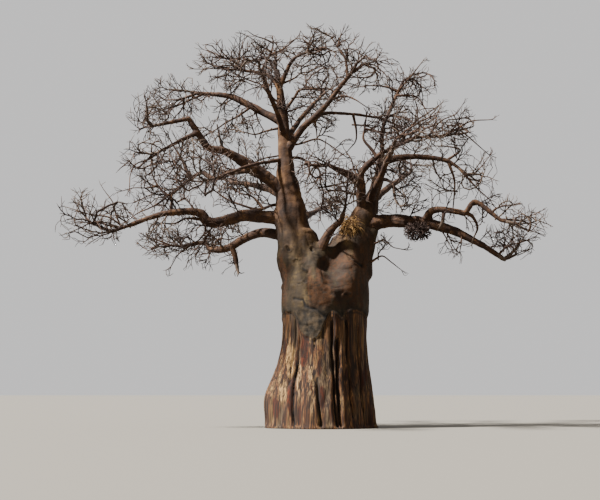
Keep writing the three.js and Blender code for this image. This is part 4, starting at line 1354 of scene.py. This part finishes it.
# %% Twig tubes
TIP_RADIUS = 0.019
TWIG_POWER = 0.28
THIN = 0.028
STOUT = 0.055
THIN_STEP = 0.1
BACK_INTO_BOUGH = 0.3
ROOT_POWER = 1.2
TIP_TAPER = 0.6
# How many sides the tubes have: sides, and the radii between which they have them.
SIDES = ((3, 0, THIN), (5, THIN, STOUT), (8, STOUT, 9))


def thickness(joints, parents, girth):
    tips = np.zeros(len(joints))
    for k in range(len(joints) - 1, -1, -1):
        tips[k] = max(tips[k], 1)
        if parents[k] >= 0:
            tips[parents[k]] += tips[k]
    radii = TIP_RADIUS * tips ** TWIG_POWER
    return radii + max(girth - radii[0], 0) * (tips / tips[0]) ** ROOT_POWER


def twig_lines(parents, radii):
    """Lines of joints from a fork to a tip, each following its thickest twig."""
    forks = [[] for _ in parents]
    for k, parent in enumerate(parents):
        if parent >= 0:
            forks[parent].append(k)
    for row in forks:
        row.sort(key=lambda k: -radii[k])
    lines, waiting = [], [[0]]
    while waiting:
        line = waiting.pop()
        while forks[line[-1]]:
            first, *rest = forks[line[-1]]
            waiting += [[line[-1], other] for other in rest]
            line.append(first)
        lines.append(line)
    return lines


def lines_to_tubes(space, joints, parents):
    """Points and radii of each line; the first goes a little way back into the bough."""
    radii = thickness(joints, parents, space["girth"])
    rows = []
    for n, line in enumerate(twig_lines(parents, radii)):
        points, girths = joints[line], radii[line].copy()
        if n:
            girths[0] = girths[1]
        else:
            points = np.vstack([points[0] - space["along"] * BACK_INTO_BOUGH, points])
            girths = np.append(girths[0], girths)
        girths[-1] *= TIP_TAPER
        if len(points) > 1:
            rows.append((points, girths))
    return rows


def tube_faces(lines, sides, offset):
    """Corners and faces of closed tubes, and how many faces each line has."""
    counts = np.array([len(points) for points, _ in lines])
    points = np.concatenate([points for points, _ in lines])
    radii = np.concatenate([girths for _, girths in lines])
    last = np.cumsum(counts) - 1
    first = last - counts + 1
    spots = np.arange(len(points))
    before, after = np.maximum(spots - 1, 0), np.minimum(spots + 1, len(points) - 1)
    before[first], after[last] = first, last
    along = unit(points[after] - points[before])
    whole = np.repeat(points[last] - points[first], counts, axis=0)
    side = unit(np.cross(along, np.eye(3)[np.abs(whole).argmin(1)]))
    up = np.cross(along, side)
    turn = np.arange(sides) * 2 * math.pi / sides
    ring = (np.cos(turn)[:, None] * side[:, None] + np.sin(turn)[:, None] * up[:, None])
    corners = (points[:, None] + radii[:, None, None] * ring).reshape(-1, 3)
    body = np.setdiff1d(spots, last)
    k = np.arange(sides)
    near, far = body[:, None] * sides, (body[:, None] + 1) * sides
    walls = np.stack([near + k, near + (k + 1) % sides, far + (k + 1) % sides, far + k], 2)
    owner = np.repeat(np.arange(len(lines)), counts)
    faces = (walls.reshape(-1, 4) + offset).tolist()
    faces += (last[:, None] * sides + k + offset).tolist()
    faces += (first[:, None] * sides + k[::-1] + offset).tolist()
    of_line = np.concatenate([np.repeat(owner[body], sides), np.arange(len(lines)),
                              np.arange(len(lines))])
    return corners, faces, of_line


def twig_piece(name, lines, tones):
    """One mesh of all the tubes; each line takes one of the twig colours."""
    girth = np.array([girths.max() for _, girths in lines])
    corners, faces, paint = [], [], []
    for sides, low, high in SIDES:
        chosen = np.flatnonzero((girth >= low) & (girth < high))
        if not len(chosen):
            continue
        made, made_faces, of_line = tube_faces(
            [lines[k] for k in chosen], sides, sum(len(rows) for rows in corners))
        corners.append(made)
        faces += made_faces
        paint.append(np.array(tones)[chosen][of_line])
    mesh = bpy.data.meshes.new(name)
    mesh.from_pydata(np.concatenate(corners), [], faces)
    mesh.polygons.foreach_set("material_index", np.concatenate(paint))
    mesh.polygons.foreach_set("use_smooth", np.ones(len(faces), bool))
    piece = bpy.data.objects.new(name, mesh)
    bpy.context.scene.collection.objects.link(piece)
    return piece


TWIG_TONES = 3
twig_pieces = {}
for name, (joints, parents) in twigs.items():
    lines = lines_to_tubes(spaces[name], joints, parents)
    tones = rng.integers(0, TWIG_TONES, len(lines))
    if name == "twigs_tangle":
        tones[:] = 0
    twig_pieces[name] = twig_piece("fine_" + name, lines, tones)


def root_of(name):
    """The bough that a thin limb belongs to."""
    while name in THIN_LIMBS:
        name = THIN_LIMBS[name][0]
    return name


shoot_pieces, thin_pieces = {}, {}
for side, boughs in (("left", [*LEFT_BOUGHS, "left_stem"]),
                     ("right", [*RIGHT_BOUGHS, "right_stem", "trunk"])):
    members = [name for name in limbs if root_of(name) in boughs]
    thin = [limb_line(name, THIN_STEP) for name in members if name in THIN_LIMBS]
    thin_pieces[side] = twig_piece(f"thin_boughs_{side}", thin, [0] * len(thin))
    lines, tones = [], []
    for name in members:
        if name not in shoots:
            continue
        for space, joints, parents in shoots[name]:
            rows = lines_to_tubes(space, joints, parents)
            lines += rows
            tones += [rng.integers(0, TWIG_TONES)] * len(rows)
    shoot_pieces[side] = twig_piece(f"shoots_{side}", lines, tones)
for piece in (*twig_pieces.values(), *shoot_pieces.values(), *thin_pieces.values()):
    piece.data.calc_loop_triangles()
    print(piece.name, len(piece.data.loop_triangles), "triangles")

# %% [markdown]
# ## The clump of straw
# An old nest or clump of dry stalks is lodged where the right stem sends out its boughs. Each
# stalk is a short drooping line that starts inside an egg-shaped middle and points outwards, and
# all are made with the same tubes as the twigs.

# %% Straw clump
STRAWS = 520
STRAW_MIDDLE = (1.78, -0.35, 12.2)
STRAW_HALF = (0.42, 0.42, 0.62)
STRAW_LENGTH = (0.35, 0.8)
STRAW_RADIUS = 0.017
STRAW_DROOP = 0.45


def straw():
    """One stalk: where it starts, which way it goes and how it hangs."""
    spot = rng.normal(size=3)
    spot *= rng.random() ** 0.5 / np.linalg.norm(spot)
    way = rng.normal(size=3) + 0.8 * spot
    way /= np.linalg.norm(way)
    share = np.linspace(0, 1, 5)[:, None]
    line = np.array(STRAW_MIDDLE) + spot * STRAW_HALF + way * share * rng.uniform(*STRAW_LENGTH)
    line[:, 2] -= STRAW_DROOP * share[:, 0] ** 2
    return line, np.linspace(STRAW_RADIUS, 0.5 * STRAW_RADIUS, 5)


straws = twig_piece("straw_clump", [straw() for _ in range(STRAWS)],
                    rng.integers(0, 2, STRAWS))
print(STRAWS, "stalks")

# %% [markdown]
# ## Finishes
# Colours are given as they are seen, in sRGB hex, and turned to the linear values that Blender
# works with. One small function adds a node, sets its values and links its inputs.

# %% Colour and node helpers
# Dry bark hardly shines: the index of wood fibre, and half the usual gloss.
BARK_IOR = 1.45
BARK_GLOSS = 0.25


def colour(text):
    """An sRGB hex value as linear red, green, blue and alpha."""
    parts = [int(text[k:k + 2], 16) / 255 for k in (1, 3, 5)]
    return (*(c / 12.92 if c <= 0.04045 else ((c + 0.055) / 1.055) ** 2.4 for c in parts), 1)


def add(tree, kind, inputs=(), **settings):
    made = tree.nodes.new(kind)
    for key, value in settings.items():
        setattr(made, key, value)
    for key, value in dict(inputs).items():
        if isinstance(value, bpy.types.NodeSocket):
            tree.links.new(value, made.inputs[key])
        else:
            made.inputs[key].default_value = value
    return made


def ramp(tree, factor, *stops):
    """A colour ramp from (place, hex) stops."""
    made = add(tree, "ShaderNodeValToRGB", {"Fac": factor})
    row = made.color_ramp.elements
    while len(row) < len(stops):
        row.new(0.5)
    for element, (place, text) in zip(row, stops):
        element.position = place
        element.color = colour(text)
    return made.outputs["Color"]


def mix(tree, factor, first, second, kind="MIX"):
    made = add(tree, "ShaderNodeMix", {}, data_type="RGBA", blend_type=kind)
    for socket, value in (("Factor", factor), ("A", first), ("B", second)):
        spot = [s for s in made.inputs if s.name == socket and s.enabled][0]
        if isinstance(value, bpy.types.NodeSocket):
            tree.links.new(value, spot)
        else:
            spot.default_value = value
    return [s for s in made.outputs if s.enabled][0]


def grain(tree, place, size, stretch=(1, 1, 1), detail=4, roughness=0.55):
    """Noise whose lumps are about size metres across, drawn out by stretch."""
    spread = add(tree, "ShaderNodeMapping", {
        "Vector": place, "Scale": [1 / (size * s) for s in stretch]})
    return add(tree, "ShaderNodeTexNoise", {
        "Vector": spread.outputs["Vector"], "Scale": 1.0, "Detail": detail,
        "Roughness": roughness}).outputs["Fac"]


def steps_between(tree, value, low, high):
    return add(tree, "ShaderNodeMapRange", {
        "Value": value, "From Min": low, "From Max": high}).outputs["Result"]


def blank(name, roughness):
    material = bpy.data.materials.new(name)
    material.use_nodes = True
    tree = material.node_tree
    shader = tree.nodes["Principled BSDF"]
    shader.inputs["Roughness"].default_value = roughness
    shader.inputs["IOR"].default_value = BARK_IOR
    shader.inputs["Specular IOR Level"].default_value = BARK_GLOSS
    place = add(tree, "ShaderNodeTexCoord").outputs["Object"]
    return material, tree, shader, place


def attribute(tree, name):
    return add(tree, "ShaderNodeAttribute", attribute_name=name).outputs["Fac"]


def bump(tree, shader, height, strength, depth):
    made = add(tree, "ShaderNodeBump", {
        "Height": height, "Strength": strength, "Distance": depth})
    tree.links.new(made.outputs["Normal"], shader.inputs["Normal"])


print("tan", [round(c, 3) for c in colour("#b58d62")])

# %% [markdown]
# ## Bark of the trunk
# Below the lip the trunk is stripped: bast fibre in long strands, tan where it is fresh,
# rust and red-brown where sap has dried, grey where it has weathered, with shade painted nearly
# black into the furrows. Above it the old bark is whole, a grey ochre-brown skin, mottled and
# creased, redder or darker in places, with a shadow painted across its right half below the fork.
# Strands are 55 to 360 mm wide and many times as long, and the mottling is about 800 mm across.
# It could be one image painted over the trunk, but noise has no seam.

# %% Stripped and whole bark


def trunk_bark():
    """Fibrous below the lip, which catches the light in streaks, and dull skin above it."""
    material, tree, shader, place = blank("stripped_and_whole_baobab_bark", 0.9)
    furrow_shade, whole = attribute(tree, "furrow_shade"), attribute(tree, "whole")
    strands = grain(tree, place, 0.28, (1, 1, 18), 5, 0.55)
    streaks = grain(tree, place, 0.36, (1, 1, 8), 3, 0.5)
    fibres = grain(tree, place, 0.055, (1, 1, 26), 3, 0.6)
    stripes = grain(tree, place, 0.13, (1, 1, 26), 2, 0.5)
    stripped = ramp(tree, strands, (0.34, "#22130a"), (0.44, "#432814"), (0.51, "#6b4828"),
                    (0.58, "#4f3a22"), (0.68, "#876739"))
    weathered = steps_between(tree, grain(tree, place, 0.9, (1, 1, 5)), 0.56, 0.64)
    stripped = mix(tree, weathered, stripped, colour("#503f2b"))
    stripped = mix(tree, attribute(tree, "grey"), stripped,
                   ramp(tree, strands, (0.36, "#4c3a25"), (0.60, "#9c7a50")))
    rust = steps_between(tree, streaks, 0.60, 0.66)
    stripped = mix(tree, rust, stripped, colour("#3c1a08"))
    stripped = mix(tree, attribute(tree, "rust"), stripped,
                   ramp(tree, strands, (0.36, "#210a02"), (0.60, "#471d08")))
    stripped = mix(tree, attribute(tree, "bare"), stripped,
                   ramp(tree, strands, (0.34, "#7c5b34"), (0.60, "#ac8653")))
    stripped = mix(tree, steps_between(tree, stripes, 0.53, 0.61), stripped,
                   colour("#24150b"))
    stripped = mix(tree, steps_between(tree, fibres, 0.62, 0.36), stripped,
                   colour("#190f08"))
    mottle = grain(tree, place, 0.8, (1, 1, 1.5), 7, 0.65)
    old = ramp(tree, mottle, (0.34, "#1b150c"), (0.46, "#2a2012"), (0.55, "#362a17"),
               (0.68, "#4a3b24"))
    warm = steps_between(tree, grain(tree, place, 2.3, (1, 1, 1.2), 4, 0.6), 0.55, 0.66)
    old = mix(tree, warm, old, colour("#37200f"))
    old = mix(tree, attribute(tree, "warm"), old,
              ramp(tree, mottle, (0.34, "#2b180a"), (0.62, "#452b15")))
    # Painted shadow: the dark patches darken the bark where the left stem casts its shade below the
    # fork.
    old = mix(tree, attribute(tree, "dark"), old,
              ramp(tree, mottle, (0.40, "#1d1006"), (0.62, "#38210d")))
    lines = grain(tree, place, 0.2, (1, 1, 9), 3, 0.5)
    old = mix(tree, steps_between(tree, lines, 0.52, 0.74), old, colour("#23190e"))
    pits = grain(tree, place, 0.16, (1.5, 1.5, 1), 5, 0.65)
    old = mix(tree, steps_between(tree, pits, 0.52, 0.34), old, colour("#22190f"))
    flakes = ramp(tree, grain(tree, place, 0.3, (1, 1, 1.4), 5, 0.65), (0.36, "#0d0905"),
                  (0.5, "#1f180e"), (0.64, "#33281a"))
    old = mix(tree, attribute(tree, "flaky"), old, flakes)
    young = ramp(tree, mottle, (0.34, "#180e07"), (0.48, "#2e1c0d"), (0.60, "#442d17"),
                 (0.70, "#5c4327"))
    old = mix(tree, attribute(tree, "young"), old, young)
    skin = mix(tree, whole, stripped, old)
    # Painted shade: the skin turns near black in the grooves, creases, dents, the crack and the
    # valley, and in a band under the lip.
    deep = steps_between(tree, furrow_shade, 0.25, 0.9)
    skin = mix(tree, deep, skin, colour("#0a0603"))
    tree.links.new(skin, shader.inputs["Base Color"])
    bump(tree, shader, mix(tree, whole, fibres, pits), 0.7, 0.04)
    return material


def bough_bark():
    """Thin bark of wood that still grows: brown, nearly smooth, with small flakes."""
    material, tree, shader, place = blank("young_baobab_bark", 0.88)
    mottle = grain(tree, place, 0.5, (1, 1, 1), 5, 0.6)
    skin = ramp(tree, mottle, (0.32, "#160c06"), (0.46, "#2d1a0c"), (0.56, "#422b16"),
                (0.70, "#5a3f25"))
    flakes = grain(tree, place, 0.09, (1, 1, 1), 4)
    skin = mix(tree, steps_between(tree, flakes, 0.58, 0.36), skin, colour("#2b1c13"))
    # Painted shade: the bark darkens in the creases of the boughs.
    skin = mix(tree, steps_between(tree, attribute(tree, "furrow_shade"), 0.25, 0.8), skin,
               colour("#1d120c"))
    tree.links.new(skin, shader.inputs["Base Color"])
    bump(tree, shader, flakes, 0.5, 0.02)
    return material


def twig_bark(name, text, dark):
    """Thin dry bark; its base colour is one of a few, dealt out by spray."""
    material, tree, shader, place = blank(name, 0.85)
    patches = grain(tree, place, 0.08, (1, 1, 1), 2)
    skin = mix(tree, steps_between(tree, patches, 0.35, 0.65), colour(text), colour(dark))
    tree.links.new(skin, shader.inputs["Base Color"])
    bump(tree, shader, patches, 0.3, 0.004)
    return material


TWIG_BARKS = [twig_bark("dry_twig_bark_dark", "#2a1b13", "#1e140e"),
              twig_bark("dry_twig_bark_brown", "#3b281b", "#2c1e15"),
              twig_bark("dry_twig_bark_grey", "#47392d", "#342920")]
for material in (twig_bark("dry_straw", "#a07c48", "#6b4c2a"),
                 twig_bark("old_straw", "#5f4527", "#3a2716")):
    straws.data.materials.append(material)
trunk.data.materials.clear()
trunk.data.materials.append(trunk_bark())
bark = bough_bark()
for piece in (left_boughs, right_boughs, *thin_pieces.values()):
    piece.data.materials.clear()
    piece.data.materials.append(bark)
for piece in (*twig_pieces.values(), *shoot_pieces.values()):
    for material in TWIG_BARKS:
        piece.data.materials.append(material)
print(len(bpy.data.materials), "materials")

# %% [markdown]
# ## What stands for what
# Every finished piece rides on the one body, and the solids that it replaces are hidden; they stay
# in the physics model.

# %% Frame calls
for piece, nodes in ((trunk, ["trunk", *STEMS]), (left_boughs, LEFT_BOUGHS),
                     (right_boughs, RIGHT_BOUGHS)):
    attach(piece, "root")
    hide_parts(*nodes)
for name, piece in twig_pieces.items():
    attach(piece, "root")
    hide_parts(name)
for piece in (*shoot_pieces.values(), straws):
    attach(piece, "root")
for piece in thin_pieces.values():
    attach(piece, "root")

# %% [markdown]
# ## Floor and light
# A plain floor and a pale surround fill the shade, and one sun stands behind the camera's left
# shoulder, so that ribs and knobs on the trunk are lit from one side.

# %% Floor and light
FLOOR_SIZE = 600
SURROUND = 1.18
SUN_STRENGTH = 26
SUN_WIDTH_DEGREES = 4
SUN_TILT_DEGREES = 40
SUN_TURN_DEGREES = -71

clear_selection()
bpy.ops.mesh.primitive_plane_add(size=FLOOR_SIZE)
floor = bpy.context.object
floor.name = "floor"
floor_material, tree, shader, place = blank("pale_floor", 0.95)
shader.inputs["Base Color"].default_value = colour("#615c53")
floor.data.materials.append(floor_material)

world = bpy.context.scene.world or bpy.data.worlds.new("studio")
bpy.context.scene.world = world
world.use_nodes = True
world.node_tree.nodes["Background"].inputs["Color"].default_value = colour("#d4d3d3")
world.node_tree.nodes["Background"].inputs["Strength"].default_value = SURROUND
bpy.ops.object.light_add(type="SUN", rotation=(
    math.radians(SUN_TILT_DEGREES), 0, math.radians(SUN_TURN_DEGREES)))
sun = bpy.context.object
sun.name = "key_light"
sun.data.energy = SUN_STRENGTH
sun.data.angle = math.radians(SUN_WIDTH_DEGREES)
